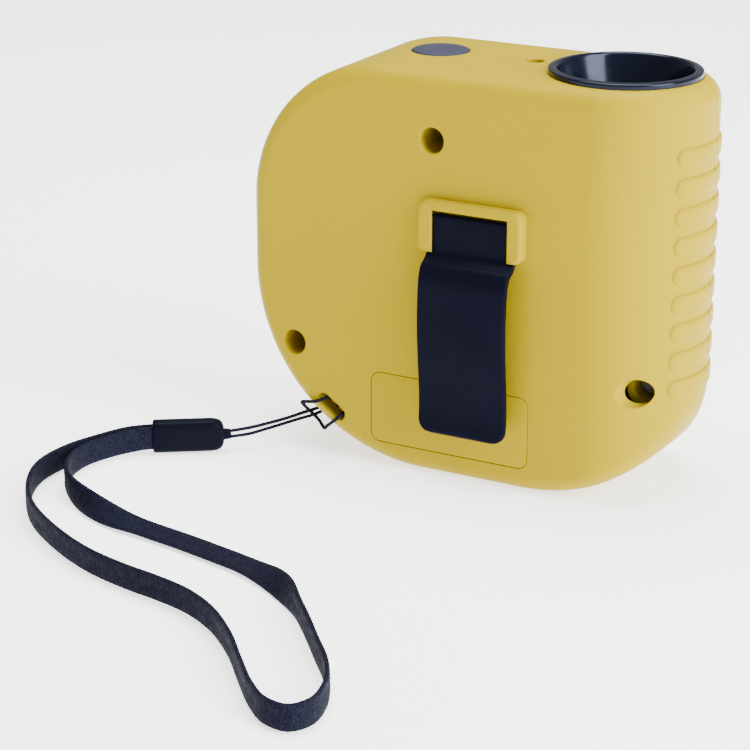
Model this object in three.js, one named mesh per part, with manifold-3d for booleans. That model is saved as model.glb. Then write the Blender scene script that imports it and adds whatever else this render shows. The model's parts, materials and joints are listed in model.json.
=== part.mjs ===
// Handheld ultrasonic distance meter with a laser pointer, a belt clip and a wrist strap.
//
// Millimetres, +Z up. The case is laid out in its own drawing frame: X runs along the case towards
// its round end, Y runs from the back face (y = 0) to the display face (y = CASE_DEPTH), and Z runs
// from the flat base (z = 0) up to the horn. The last group moves the whole assembly so that its
// origin is the middle of the bottom of its bounding box, measured without the wrist strap.

import * as THREE from 'three';
import Module from 'manifold-3d';
import { mergeVertices } from 'three/addons/utils/BufferGeometryUtils.js';

const wasm = await Module();
wasm.setup();

// ---------------------------------------------------------------- driving dimensions

const GAP = 0.3;                    // clearance between neighbouring pieces

// Case
const CASE_DEPTH = 44;
const CASE_TOP = 98.8;
const CASE_LEFT = -55.5;
const OUTLINE_RIGHT = 64;           // the side outline runs past the round end, which cuts it off
const END_X = 32.7;                 // axis of the round end and of the horn
const MID_Y = CASE_DEPTH / 2;
const SEAM_Y = 24;                  // plane where the two shells meet
const WALL = 2;
const TOP_LEFT_RADIUS = 35.8;
const LOW_LEFT_RADIUS = 46.3;
const LOW_RIGHT_RADIUS = 46.3;
const BACK_EDGE_RADIUS = 4.3;
const FRONT_EDGE_RADIUS = 5.6;
const RAY_X = 0;                    // centre that the case's section rings are drawn from
const RAY_Z = 50;

// Finger grip on the round end
const PAD_COUNT = 9;
const PAD_TOP_Z = 83.3;
const PAD_PITCH = 6.88;
const PAD_HEIGHT = 4.8;
const PAD_BACK_Y = 9.7;
const PAD_FRONT_Y = CASE_DEPTH - PAD_BACK_Y;
const PAD_RISE = 0.6;

// Case screws, [x, z] on the back face
const CASE_SCREWS = [[-5.9, 83], [-43.4, 27.7], [45.9, 28.4]];
const BOSS_RADIUS = 4.8;
const COUNTERBORE_RADIUS = 3.1;
const COUNTERBORE_DEPTH = 15;

// Belt clip and its bracket
const CLIP_X = 5.4;
const CLIP_WIDTH = 22.8;
const CLIP_THICKNESS = 1.5;
const BRACKET_RISE = 3;
const BRACKET_HALF = 13.5;
const BRACKET_OPENING_HALF = 9.7;
const BRACKET_TOP = 69.4;
const BRACKET_BAR = 2.2;
const BRACKET_BOTTOM = 56.9;
const BRACKET_LIP = 0.6;

// Blank label plate on the back face
const LABEL = { x: -0.85, z: 15, width: 41.9, height: 17.8, radius: 2.5 };
const LABEL_THICKNESS = 0.9;

// Strap slots: one in the back face and one in the side, with a bar of the case between them
const STRAP_ANGLE = Math.PI + 0.955;      // direction of the slots from the corner's centre
const STRAP_DEPTH = 5;                    // from the side outline to the middle of the back slot
const STRAP_SLOT_LENGTH = 8.4;
const STRAP_SLOT_WIDTH = 3.2;
const STRAP_SIDE_Y = 5.7;
const STRAP_SIDE_WIDTH = 2.8;

// Horn and transducer
const HORN_TOP = 100.3;
const HORN_RIM_RADIUS = 17.9;
const HORN_NECK_RADIUS = 16.6;
const HORN_BOTTOM = 58;
const TRANSDUCER_RADIUS = 8.1;
const TRANSDUCER_TOP = 72.6;
const TRANSDUCER_BOTTOM = 60.4;

// Laser pointer, read button
const LASER_X = 8.9;
const LASER_HOLE_RADIUS = 2.4;
const LASER_RADIUS = 3;
const BUTTON_X = -16;
const BUTTON_RADIUS = 6.9;
const BUTTON_TOP = 99.5;

// Display face
const DISPLAY_X = -17;
const DISPLAY_Z = 62;
const WINDOW_WIDTH = 42;
const WINDOW_HEIGHT = 26;
const GLASS_WIDTH = 40;
const GLASS_HEIGHT = 24;
const KEY_COLUMNS = [-31, -17, -3];
const KEY_ROWS = [39, 26];
const KEY_WIDTH = 11;
const KEY_HEIGHT = 8.5;
const KEY_RISE = 0.8;
const KEY_RADIUS = 2.6;

// Main board
const BOARD_BACK = 30;
const BOARD_THICKNESS = 1.6;
const BOARD_FRONT = BOARD_BACK + BOARD_THICKNESS;
const BOARD_SCREWS = [[-27, 83], [10.4, 62], [9.8, 22], [-24, 14.5]];

// Battery, an upright 9 V block, and the door below it
const BATTERY_X = 2.3;
const BATTERY_WIDTH = 26.5;
const BATTERY_DEPTH = 17.5;
const BATTERY_BACK = 3.7;
const BATTERY_BOTTOM = 3.2;
const BATTERY_BODY = 46;
const DOOR_LEFT = -13.3;
const DOOR_RIGHT = 18.5;
const DOOR_BACK = 3.9;
const DOOR_FRONT = 21.7;
const DOOR_THICKNESS = 2;
const HINGE_Z = 1.4;
const HINGE_X = DOOR_RIGHT - HINGE_Z;
const HINGE_PIN_RADIUS = 0.6;

// Wrist strap
const CORD_DIAMETER = 0.9;
const RIBBON_WIDTH = 6;
const RIBBON_THICKNESS = 1.4;
const SLIDER_LENGTH = 17.5;
const SLIDER_WIDTH = 8.2;
const SLIDER_THICKNESS = 4.6;
const SLIDER_TAIL = [-71.4, -19.7];     // end that the ribbon enters
const SLIDER_TURN = Math.atan2(9.8, 14.6);

// Extents that place the origin
const CLIP_PROUD = 6.95;
const ORIGIN_X = (CASE_LEFT + END_X + MID_Y + PAD_RISE) / 2;
const ORIGIN_Y = (CASE_DEPTH + KEY_RISE - CLIP_PROUD) / 2;

// ---------------------------------------------------------------- materials

const paint = (color, roughness, metalness = 0) =>
  new THREE.MeshStandardMaterial({ color, roughness, metalness });

const YELLOW = paint(0xe6cf28, 0.5);
const BLACK = paint(0x1b1d2b, 0.45);
const HORN_BLACK = paint(0x14151f, 0.2);
const BUTTON_GREY = paint(0x50526a, 0.5);
const CLEAR = paint(0xa9b4b4, 0.1);
const GLASS_GREEN = paint(0x8f9d86, 0.15);
const BOARD_GREEN = paint(0x1f6b3a, 0.5);
const STEEL = paint(0xb8babd, 0.35, 1);
const ALUMINIUM = paint(0xc9cbcf, 0.4, 1);
const BRASS = paint(0xb08d3f, 0.35, 1);
const RUBBER = paint(0x26262a, 0.8);
const SILICONE = paint(0xa8adb2, 0.7);
const CHIP_BLACK = paint(0x17171a, 0.5);
const RED_WIRE = paint(0xb01e1e, 0.5);
const BLACK_WIRE = paint(0x161616, 0.5);
const BATTERY_CASE = paint(0x3b4350, 0.35, 0.4);
const WEBBING = paint(0x14151a, 0.9);

// ---------------------------------------------------------------- solids from three.js geometry

function toSolid(geometry) {
  const plain = geometry.clone();
  plain.deleteAttribute('normal');
  plain.deleteAttribute('uv');
  const merged = mergeVertices(plain, 1e-4);
  const index = merged.index.array;
  const triangles = [];
  for (let i = 0; i < index.length; i += 3) {
    const [a, b, c] = [index[i], index[i + 1], index[i + 2]];
    if (a !== b && b !== c && c !== a) triangles.push(a, b, c);
  }
  const vertProperties = new Float32Array(merged.attributes.position.array);
  return new wasm.Manifold(
    new wasm.Mesh({ numProp: 3, vertProperties, triVerts: new Uint32Array(triangles) }),
  );
}

function toGeometry(solid) {
  const mesh = solid.getMesh();
  const geometry = new THREE.BufferGeometry();
  geometry.setAttribute('position', new THREE.BufferAttribute(new Float32Array(mesh.vertProperties), 3));
  geometry.setIndex(new THREE.BufferAttribute(new Uint32Array(mesh.triVerts), 1));
  return geometry;
}

const joined = (...solids) => solids.reduce((sum, solid) => sum.add(solid));

function block(x0, x1, y0, y1, z0, z1) {
  const geometry = new THREE.BoxGeometry(x1 - x0, y1 - y0, z1 - z0);
  geometry.translate((x0 + x1) / 2, (y0 + y1) / 2, (z0 + z1) / 2);
  return toSolid(geometry);
}

function rodY(x, z, radius, y0, y1, sides = 16) {
  const geometry = new THREE.CylinderGeometry(radius, radius, y1 - y0, sides);
  geometry.translate(x, (y0 + y1) / 2, z);
  return toSolid(geometry);
}

function rodZ(x, y, radius, z0, z1, sides = 16) {
  const geometry = new THREE.CylinderGeometry(radius, radius, z1 - z0, sides);
  geometry.rotateX(Math.PI / 2);
  geometry.translate(x, y, (z0 + z1) / 2);
  return toSolid(geometry);
}

// A profile of [radius, z] points turned about a vertical axis at (x, y).
function turned(profile, x, y, sides = 20) {
  const points = profile.map(([radius, z]) => new THREE.Vector2(radius, z));
  const geometry = new THREE.LatheGeometry(points, sides);
  geometry.rotateX(Math.PI / 2);
  geometry.translate(x, y, 0);
  const solid = toSolid(geometry);
  return solid.volume() < 0 ? toSolid(flipped(geometry)) : solid;
}

function flipped(geometry) {
  const turnedOver = geometry.clone();
  const index = turnedOver.index.array;
  for (let i = 0; i < index.length; i += 3) {
    [index[i], index[i + 1]] = [index[i + 1], index[i]];
  }
  return turnedOver;
}

function roundedRectangle(width, height, radius) {
  const [w, h] = [width / 2, height / 2];
  const shape = new THREE.Shape();
  shape.moveTo(w - radius, -h);
  shape.absarc(w - radius, -h + radius, radius, -Math.PI / 2, 0);
  shape.absarc(w - radius, h - radius, radius, 0, Math.PI / 2);
  shape.absarc(-w + radius, h - radius, radius, Math.PI / 2, Math.PI);
  shape.absarc(-w + radius, -h + radius, radius, Math.PI, Math.PI * 1.5);
  return shape;
}

// A rounded rectangular plate that faces along Y, centred at (x, z).
function plate(x, z, width, height, radius, y0, y1, curveSegments = 3) {
  const options = { depth: y1 - y0, bevelEnabled: false, curveSegments };
  const geometry = new THREE.ExtrudeGeometry(roundedRectangle(width, height, radius), options);
  geometry.rotateX(Math.PI / 2);
  geometry.translate(x, y1, z);
  return toSolid(geometry);
}

// ---------------------------------------------------------------- case surface

const smoothstep = (low, high, value) => {
  const t = Math.min(Math.max((value - low) / (high - low), 0), 1);
  return t * t * (3 - 2 * t);
};

// Signed distance to the side outline: a box whose corners have their own radii.
function outlineDistance(x, z) {
  const halfWidth = (OUTLINE_RIGHT - CASE_LEFT) / 2;
  const halfHeight = CASE_TOP / 2;
  const dx = x - (CASE_LEFT + halfWidth);
  const dz = z - halfHeight;
  let radius = 0;
  if (dx < 0) radius = dz < 0 ? LOW_LEFT_RADIUS : TOP_LEFT_RADIUS;
  else if (dz < 0) radius = LOW_RIGHT_RADIUS;
  const u = Math.abs(dx) - halfWidth + radius;
  const v = Math.abs(dz) - halfHeight + radius;
  return Math.hypot(Math.max(u, 0), Math.max(v, 0)) + Math.min(Math.max(u, v), 0) - radius;
}

// Signed distance to the plan: two flat faces that a half cylinder joins at the right.
function planDistance(x, y) {
  return Math.hypot(Math.max(x - END_X, 0), y - MID_Y) - MID_Y;
}

// Signed distance to the case, whose edges are rounded where outline and plan meet.
function caseDistance(x, y, z) {
  const blend = smoothstep(12, 32, y);
  const radius = BACK_EDGE_RADIUS + (FRONT_EDGE_RADIUS - BACK_EDGE_RADIUS) * blend;
  const a = outlineDistance(x, z) + radius;
  const b = planDistance(x, y) + radius;
  return Math.hypot(Math.max(a, 0), Math.max(b, 0)) + Math.min(Math.max(a, b), 0) - radius;
}

// How far the case surface, moved in by inset, lies from the ray centre in one direction.
function caseReach(angle, y, inset) {
  const [cos, sin] = [Math.cos(angle), Math.sin(angle)];
  let near = 0;
  let far = 120;
  for (let i = 0; i < 40; i += 1) {
    const middle = (near + far) / 2;
    const outside = caseDistance(RAY_X + middle * cos, y, RAY_Z + middle * sin) + inset > 1e-6;
    if (outside) far = middle;
    else near = middle;
  }
  return near;
}

// Section planes from y0 to y1, closer together towards the two faces of the case.
function sectionPlanes(inset, y0, y1, perHalf) {
  const half = MID_Y - inset;
  const planes = [y0];
  for (let i = 0; i <= perHalf * 2; i += 1) {
    const y = MID_Y - half * Math.cos((i * Math.PI) / (perHalf * 2));
    if (y > y0 + 0.2 && y < y1 - 0.2) planes.push(y);
  }
  planes.push(y1);
  return planes;
}

// The case between two planes as a closed loft of rings, moved in by inset.
function caseBody(inset, y0, y1, ringSteps = 64, perHalf = 6) {
  const planes = sectionPlanes(inset, y0, y1, perHalf);
  const positions = [];
  const index = [];
  planes.forEach((y) => {
    for (let i = 0; i < ringSteps; i += 1) {
      const angle = (i * 2 * Math.PI) / ringSteps;
      const reach = caseReach(angle, y, inset);
      positions.push(RAY_X + reach * Math.cos(angle), y, RAY_Z + reach * Math.sin(angle));
    }
  });
  for (let k = 0; k + 1 < planes.length; k += 1) {
    for (let i = 0; i < ringSteps; i += 1) {
      const next = (i + 1) % ringSteps;
      const [a, b] = [k * ringSteps + i, k * ringSteps + next];
      const [c, d] = [a + ringSteps, b + ringSteps];
      index.push(a, b, d, a, d, c);
    }
  }
  const firstCentre = positions.length / 3;
  positions.push(RAY_X, y0, RAY_Z, RAY_X, y1, RAY_Z);
  const last = (planes.length - 1) * ringSteps;
  for (let i = 0; i < ringSteps; i += 1) {
    const next = (i + 1) % ringSteps;
    index.push(firstCentre, next, i);
    index.push(firstCentre + 1, last + i, last + next);
  }
  const geometry = new THREE.BufferGeometry();
  geometry.setAttribute('position', new THREE.Float32BufferAttribute(positions, 3));
  geometry.setIndex(index);
  const solid = toSolid(geometry);
  return solid.volume() < 0 ? toSolid(flipped(geometry)) : solid;
}

const REAR_END = SEAM_Y - GAP / 2;
const FRONT_START = SEAM_Y + GAP / 2;

const cavity = caseBody(WALL, WALL, CASE_DEPTH - WALL, 36, 4);

// Raised stadium pads that wrap around the round end.
function gripPads() {
  const swollen = caseBody(-PAD_RISE, 6, CASE_DEPTH - 6, 64, 6);
  const length = PAD_FRONT_Y - PAD_BACK_Y;
  const prisms = [];
  for (let i = 0; i < PAD_COUNT; i += 1) {
    const shape = roundedRectangle(length, PAD_HEIGHT, PAD_HEIGHT / 2 - 0.01);
    const options = { depth: 14, bevelEnabled: false, curveSegments: 2 };
    const geometry = new THREE.ExtrudeGeometry(shape, options);
    geometry.rotateX(Math.PI / 2);
    geometry.rotateZ(Math.PI / 2);
    geometry.translate(END_X + 12, MID_Y, PAD_TOP_Z - i * PAD_PITCH);
    prisms.push(toSolid(geometry));
  }
  return swollen.intersect(joined(...prisms));
}

// Openings that cross the seam, so both shells carry one side of them.
function seamOpenings() {
  return joined(
    rodZ(END_X, MID_Y, HORN_NECK_RADIUS + GAP, 90, 110, 32),
    rodZ(BUTTON_X, SEAM_Y, BUTTON_RADIUS + 0.35, 90, 110, 24),
    rodZ(LASER_X, SEAM_Y, LASER_HOLE_RADIUS, 90, 110, 12),
  );
}

const pads = gripPads();
const openings = seamOpenings();

// ---------------------------------------------------------------- shells

// The U-shaped bracket that holds the belt clip by both edges.
function clipBracket() {
  const height = BRACKET_TOP - BRACKET_BOTTOM;
  const middle = (BRACKET_TOP + BRACKET_BOTTOM) / 2;
  const options = {
    depth: BRACKET_RISE - 0.7 + 0.5,
    bevelEnabled: true,
    bevelThickness: 0.7,
    bevelSize: 0.9,
    bevelOffset: -0.9,
    bevelSegments: 2,
    curveSegments: 4,
  };
  const outline = roundedRectangle(BRACKET_HALF * 2, height, 2.4);
  const geometry = new THREE.ExtrudeGeometry(outline, options);
  geometry.rotateX(Math.PI / 2);
  geometry.translate(CLIP_X, 0.5, middle);
  const opening = block(
    CLIP_X - BRACKET_OPENING_HALF, CLIP_X + BRACKET_OPENING_HALF,
    -BRACKET_RISE - 1, 0, BRACKET_BOTTOM - 1, BRACKET_TOP - BRACKET_BAR,
  );
  const channelHalf = CLIP_WIDTH / 2 + GAP;
  const channel = block(
    CLIP_X - channelHalf, CLIP_X + channelHalf,
    -BRACKET_RISE + BRACKET_LIP, 0, BRACKET_BOTTOM - 1, BRACKET_TOP - BRACKET_BAR,
  );
  const outward = block(-30, 40, -BRACKET_RISE, 0.4, BRACKET_BOTTOM, BRACKET_TOP);
  return toSolid(geometry).intersect(outward).subtract(opening).subtract(channel);
}

// A point at the strap corner: inset from the side outline, depth y, and shift along the outline.
function strapPoint(inset, y, shift) {
  const reach = LOW_LEFT_RADIUS - inset;
  const [cos, sin] = [Math.cos(STRAP_ANGLE), Math.sin(STRAP_ANGLE)];
  return [
    CASE_LEFT + LOW_LEFT_RADIUS + reach * cos - shift * sin,
    y,
    LOW_LEFT_RADIUS + reach * sin + shift * cos,
  ];
}

// Solid corner around the two strap slots.
function strapCorner(outer) {
  const [x, , z] = strapPoint(STRAP_DEPTH - 1, 0, 0);
  return rodY(x, z, 7.6, 0, 9.5, 20).intersect(outer);
}

function strapSlots() {
  const backOptions = { depth: 9, bevelEnabled: false, curveSegments: 4 };
  const back = new THREE.ExtrudeGeometry(
    roundedRectangle(STRAP_SLOT_LENGTH, STRAP_SLOT_WIDTH, STRAP_SLOT_WIDTH / 2 - 0.01), backOptions,
  );
  back.rotateX(Math.PI / 2);
  back.rotateY(-(STRAP_ANGLE + Math.PI / 2));
  const [x, , z] = strapPoint(STRAP_DEPTH, 0, 0);
  back.translate(x, 7.2, z);
  const sideOptions = { depth: STRAP_DEPTH + 8, bevelEnabled: false, curveSegments: 3 };
  const side = new THREE.ExtrudeGeometry(
    roundedRectangle(STRAP_SIDE_WIDTH, STRAP_SLOT_LENGTH - 1, STRAP_SIDE_WIDTH / 2 - 0.01), sideOptions,
  );
  side.applyMatrix4(new THREE.Matrix4().makeBasis(
    new THREE.Vector3(0, 1, 0),
    new THREE.Vector3(-Math.sin(STRAP_ANGLE), 0, Math.cos(STRAP_ANGLE)),
    new THREE.Vector3(Math.cos(STRAP_ANGLE), 0, Math.sin(STRAP_ANGLE)),
  ));
  side.translate(x, STRAP_SIDE_Y, z);
  return joined(toSolid(back), toSolid(side));
}

// Walls beside the battery and blocks that carry the ends of the hinge pin.
function batteryWalls() {
  const left = BATTERY_X - BATTERY_WIDTH / 2 - GAP;
  const right = BATTERY_X + BATTERY_WIDTH / 2 + GAP;
  const top = BATTERY_BOTTOM + BATTERY_BODY;
  return joined(
    block(left - 1.4, left, 1, 22.6, 4.6, top),
    block(right, right + 1.4, 1, 22.6, 4.6, top),
    block(HINGE_X - 1.6, HINGE_X + 2.6, 1.2, DOOR_BACK - GAP, 0.6, 4.4),
    block(HINGE_X - 1.6, HINGE_X + 2.6, DOOR_FRONT + GAP, REAR_END, 0, 4.4),
  );
}

function doorOpening() {
  return joined(
    block(DOOR_LEFT - GAP, HINGE_X + 2, DOOR_BACK - GAP, DOOR_FRONT + GAP, -1, 4.5),
    rodY(HINGE_X, HINGE_Z, HINGE_PIN_RADIUS + GAP, 1.9, 23.4, 16),
  );
}

function rearShell() {
  const outer = caseBody(0, 0, REAR_END);
  const rearPads = pads.intersect(block(0, 70, 0, REAR_END, 0, 110));
  const bosses = CASE_SCREWS.map(([x, z]) => rodY(x, z, BOSS_RADIUS, 0, REAR_END).intersect(outer));
  const counterbores = CASE_SCREWS.map(([x, z]) =>
    joined(
      rodY(x, z, COUNTERBORE_RADIUS, -1, COUNTERBORE_DEPTH),
      rodY(x, z, 1.7, COUNTERBORE_DEPTH - 1, REAR_END + 1, 16),
    ));
  const labelRecess = plate(
    LABEL.x, LABEL.z, LABEL.width + GAP * 2, LABEL.height + GAP * 2, LABEL.radius + GAP,
    -1, LABEL_THICKNESS + GAP,
  );
  return joined(outer, rearPads)
    .subtract(cavity)
    .add(joined(...bosses, strapCorner(outer), batteryWalls()))
    .subtract(joined(...counterbores, labelRecess, strapSlots(), doorOpening(), openings))
    .add(clipBracket());
}

function frontShell() {
  const outer = caseBody(0, FRONT_START, CASE_DEPTH);
  const frontPads = pads.intersect(block(0, 70, FRONT_START, CASE_DEPTH, 0, 110));
  const bosses = CASE_SCREWS.map(([x, z]) =>
    rodY(x, z, BOSS_RADIUS, FRONT_START, CASE_DEPTH).intersect(outer));
  const posts = BOARD_SCREWS.map(([x, z]) =>
    rodY(x, z, 3, BOARD_FRONT + GAP, CASE_DEPTH - 1, 16));
  const pilots = [
    ...CASE_SCREWS.map(([x, z]) => rodY(x, z, 1.65, 20, 38, 16)),
    ...BOARD_SCREWS.map(([x, z]) => rodY(x, z, 1.3, 20, 39, 12)),
  ];
  const windowSeat = plate(
    DISPLAY_X, DISPLAY_Z, WINDOW_WIDTH + GAP * 2, WINDOW_HEIGHT + GAP * 2, 2.5, CASE_DEPTH - 1.6, 50,
  );
  const windowOpening = plate(
    DISPLAY_X, DISPLAY_Z, WINDOW_WIDTH - 4, WINDOW_HEIGHT - 4, 1.5, 38, 50,
  );
  const keyOpenings = keyPlaces().map(([x, z]) =>
    plate(x, z, KEY_WIDTH + 0.7, KEY_HEIGHT + 0.7, KEY_RADIUS, 40, 50));
  return joined(outer, frontPads)
    .subtract(cavity)
    .add(joined(...bosses, ...posts))
    .subtract(joined(...pilots, windowSeat, windowOpening, ...keyOpenings, openings));
}

const keyPlaces = () => KEY_ROWS.flatMap((z) => KEY_COLUMNS.map((x) => [x, z]));

// ---------------------------------------------------------------- pieces on the outside

// A strip of even thickness along a curve of [y, z] points, extruded across the clip.
function beltClip() {
  const middle = [
    [-1.35, 66.4], [-1.35, 61], [-1.4, 56.9], [-2.9, 55.2], [-4.6, 54], [-5.6, 51.5], [-6.1, 46],
    [-6.2, 40], [-5.7, 32], [-5, 25], [-4.8, 20], [-5.1, 16], [-5.6, 13.4],
  ];
  const curve = new THREE.SplineCurve(middle.map(([y, z]) => new THREE.Vector2(y, z)));
  const steps = 22;
  const [outerSide, innerSide] = [[], []];
  for (let i = 0; i <= steps; i += 1) {
    const point = curve.getPoint(i / steps);
    const along = curve.getTangent(i / steps);
    const across = new THREE.Vector2(along.y, -along.x).multiplyScalar(CLIP_THICKNESS / 2);
    outerSide.push(point.clone().add(across));
    innerSide.push(point.clone().sub(across));
  }
  const section = new THREE.Shape([...outerSide, ...innerSide.reverse()]);
  const geometry = new THREE.ExtrudeGeometry(section, { depth: CLIP_WIDTH, bevelEnabled: false });
  geometry.applyMatrix4(new THREE.Matrix4().set(
    0, 0, 1, CLIP_X - CLIP_WIDTH / 2,
    1, 0, 0, 0,
    0, 1, 0, 0,
    0, 0, 0, 1,
  ));
  const face = plate(CLIP_X, 40.4, CLIP_WIDTH, 54.6, 3.4, -10, 5);
  return toSolid(geometry).intersect(face);
}

function horn() {
  return turned([
    [7.4, 73], [8.6, 77], [13.2, 91], [14.9, 97], [15.5, 99.4], [16, 100.1], [16.6, HORN_TOP],
    [17.3, 100.1], [HORN_RIM_RADIUS, 99.6], [HORN_RIM_RADIUS, 99.3], [17.7, 99.12],
    [HORN_NECK_RADIUS, 99.1], [HORN_NECK_RADIUS, 96], [15, 91], [11.6, 78], [11.6, HORN_BOTTOM],
    [10.2, HORN_BOTTOM], [10.2, 73], [7.4, 73],
  ], END_X, MID_Y, 32);
}

function transducerGasket() {
  return turned([
    [8.4, 60], [9.9, 60], [9.9, 72.6], [8.4, 72.6], [8.4, 60],
  ], END_X, MID_Y);
}

function ultrasonicTransducer() {
  const can = turned([
    [0, TRANSDUCER_BOTTOM], [TRANSDUCER_RADIUS, TRANSDUCER_BOTTOM], [TRANSDUCER_RADIUS, TRANSDUCER_TOP],
    [6.6, TRANSDUCER_TOP], [6.4, TRANSDUCER_TOP - 1.2], [0, TRANSDUCER_TOP - 1.6],
  ], END_X, MID_Y);
  const pins = [-2.5, 2.5].map((dx) =>
    rodZ(END_X + dx, MID_Y, 0.5, TRANSDUCER_BOTTOM - 5, TRANSDUCER_BOTTOM + 1, 8));
  return joined(can, ...pins);
}

function readButton() {
  return turned([
    [0, 90.9], [2, 90.9], [2, 94.2], [8.2, 94.2], [8.2, 95.4], [BUTTON_RADIUS, 95.6],
    [BUTTON_RADIUS, 98.9], [6.5, 99.3], [4, BUTTON_TOP - 0.05], [0, BUTTON_TOP],
  ], BUTTON_X, SEAM_Y, 24);
}

function laserBarrel() {
  return turned([
    [0, 82], [LASER_RADIUS, 82], [LASER_RADIUS, 96.6], [2.5, 96.6], [2.5, 92], [0, 92],
  ], LASER_X, SEAM_Y, 16);
}

// ---------------------------------------------------------------- electronics

function mainBoard() {
  const inside = caseBody(WALL + 1, BOARD_BACK, BOARD_FRONT, 36, 1);
  const blank = block(-52, 13.4, BOARD_BACK, BOARD_FRONT, 10.5, 92).intersect(inside);
  const holes = [
    ...CASE_SCREWS.slice(0, 2).map(([x, z]) => rodY(x, z, BOSS_RADIUS + 0.4, 29, 33)),
    ...BOARD_SCREWS.map(([x, z]) => rodY(x, z, 1.4, 29, 33, 12)),
  ];
  return blank.subtract(joined(...holes));
}

function screw(x, z, headStart, headRadius, headHeight, shankRadius, tip) {
  const slot = block(x - headRadius * 0.7, x + headRadius * 0.7, headStart - 1, headStart + 0.6,
    z - 0.3, z + 0.3);
  const slotAcross = block(x - 0.3, x + 0.3, headStart - 1, headStart + 0.6,
    z - headRadius * 0.7, z + headRadius * 0.7);
  return joined(
    rodY(x, z, headRadius, headStart, headStart + headHeight, 20),
    rodY(x, z, shankRadius, headStart + headHeight - 0.5, tip, 12),
  ).subtract(slot).subtract(slotAcross);
}

function lcdFrame() {
  const outside = plate(
    DISPLAY_X, DISPLAY_Z, GLASS_WIDTH + 6, GLASS_HEIGHT + 6, 1.5, BOARD_FRONT + GAP, 40.6,
  );
  const inside = plate(DISPLAY_X, DISPLAY_Z, GLASS_WIDTH + 0.7, GLASS_HEIGHT + 0.7, 0.6, 30, 42);
  return outside.subtract(inside);
}

function keyMat() {
  const sheet = plate(KEY_COLUMNS[1], 32.5, 42, 25.5, 2, BOARD_FRONT + GAP, 34.2);
  const domes = keyPlaces().map(([x, z]) => plate(x, z, 8, 6, 2, 34, 36.6, 1));
  return joined(sheet, ...domes);
}

function keyCap(x, z) {
  return joined(
    plate(x, z, KEY_WIDTH, KEY_HEIGHT, KEY_RADIUS, 39, CASE_DEPTH + KEY_RISE),
    plate(x, z, KEY_WIDTH + 1.4, KEY_HEIGHT + 1.6, 1.2, 37.6, 40.4, 1),
  );
}

function battery() {
  const options = { depth: BATTERY_BODY, bevelEnabled: false, curveSegments: 4 };
  const body = new THREE.ExtrudeGeometry(roundedRectangle(BATTERY_WIDTH, BATTERY_DEPTH, 2), options);
  const middle = BATTERY_BACK + BATTERY_DEPTH / 2;
  body.translate(BATTERY_X, middle, BATTERY_BOTTOM);
  const top = BATTERY_BOTTOM + BATTERY_BODY;
  return joined(
    toSolid(body),
    rodZ(BATTERY_X - 6.3, middle, 2.8, top - 1, top + 2.5, 16),
    rodZ(BATTERY_X + 6.3, middle, 3.6, top - 1, top + 2.5, 6),
  );
}

function batterySnap() {
  const middle = BATTERY_BACK + BATTERY_DEPTH / 2;
  const bottom = BATTERY_BOTTOM + BATTERY_BODY + GAP;
  const options = { depth: 4.4, bevelEnabled: false, curveSegments: 4 };
  const body = new THREE.ExtrudeGeometry(roundedRectangle(25, 12, 2), options);
  body.translate(BATTERY_X, middle, bottom);
  return toSolid(body).subtract(joined(
    rodZ(BATTERY_X - 6.3, middle, 3.2, bottom - 1, bottom + 2.6, 16),
    rodZ(BATTERY_X + 6.3, middle, 4, bottom - 1, bottom + 2.6, 16),
  ));
}

function batteryDoor() {
  const knuckleClear = block(HINGE_X - 0.2, 40, 0, 30, DOOR_THICKNESS - 0.6, 6);
  return joined(
    block(DOOR_LEFT, HINGE_X, DOOR_BACK, DOOR_FRONT, 0, DOOR_THICKNESS).subtract(knuckleClear),
    rodY(HINGE_X, HINGE_Z, HINGE_Z, DOOR_BACK, DOOR_FRONT, 24),
    block(DOOR_LEFT + 0.6, DOOR_LEFT + 1.8, 10, 17.8, DOOR_THICKNESS - 0.2, DOOR_THICKNESS + 0.6),
  ).subtract(rodY(HINGE_X, HINGE_Z, HINGE_PIN_RADIUS + GAP, 0, 30, 16));
}

// ---------------------------------------------------------------- wires, cord and ribbon

const toCurve = (points) =>
  new THREE.CatmullRomCurve3(points.map((point) => new THREE.Vector3(...point)), false, 'centripetal');

// A round cord along a hand-drawn route.
function cord(points, diameter, steps) {
  const section = new THREE.Shape();
  section.absarc(0, 0, diameter / 2, 0, Math.PI * 2);
  const options = { steps, extrudePath: toCurve(points), curveSegments: 4 };
  return new THREE.ExtrudeGeometry(section, options);
}

// How far the ribbon leans over at a fraction of its length: upright at both ends, flat in between.
function ribbonLean(fraction) {
  const over = smoothstep(0.64, 0.73, fraction) * (1 - smoothstep(0.81, 0.9, fraction));
  return over * 1.45;
}

// A route whose frames keep a flat section on its edge, and lean it over where it lies down.
class RibbonRoute extends THREE.CatmullRomCurve3 {
  computeFrenetFrames(segments) {
    const frames = { tangents: [], normals: [], binormals: [] };
    for (let i = 0; i <= segments; i += 1) {
      const tangent = this.getTangentAt(i / segments);
      const side = new THREE.Vector3(tangent.y, -tangent.x, 0).normalize();
      const normal = new THREE.Vector3(0, 0, 1).applyAxisAngle(tangent, ribbonLean(i / segments));
      side.applyAxisAngle(tangent, ribbonLean(i / segments));
      frames.tangents.push(tangent);
      frames.normals.push(normal);
      frames.binormals.push(side);
    }
    return frames;
  }
}

function ribbon(points, steps) {
  const path = new RibbonRoute(points.map((point) => new THREE.Vector3(...point)), false, 'centripetal');
  const section = roundedRectangle(RIBBON_WIDTH, RIBBON_THICKNESS, RIBBON_THICKNESS / 2 - 0.01);
  return new THREE.ExtrudeGeometry(section, { steps, extrudePath: path, curveSegments: 1 });
}

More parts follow.
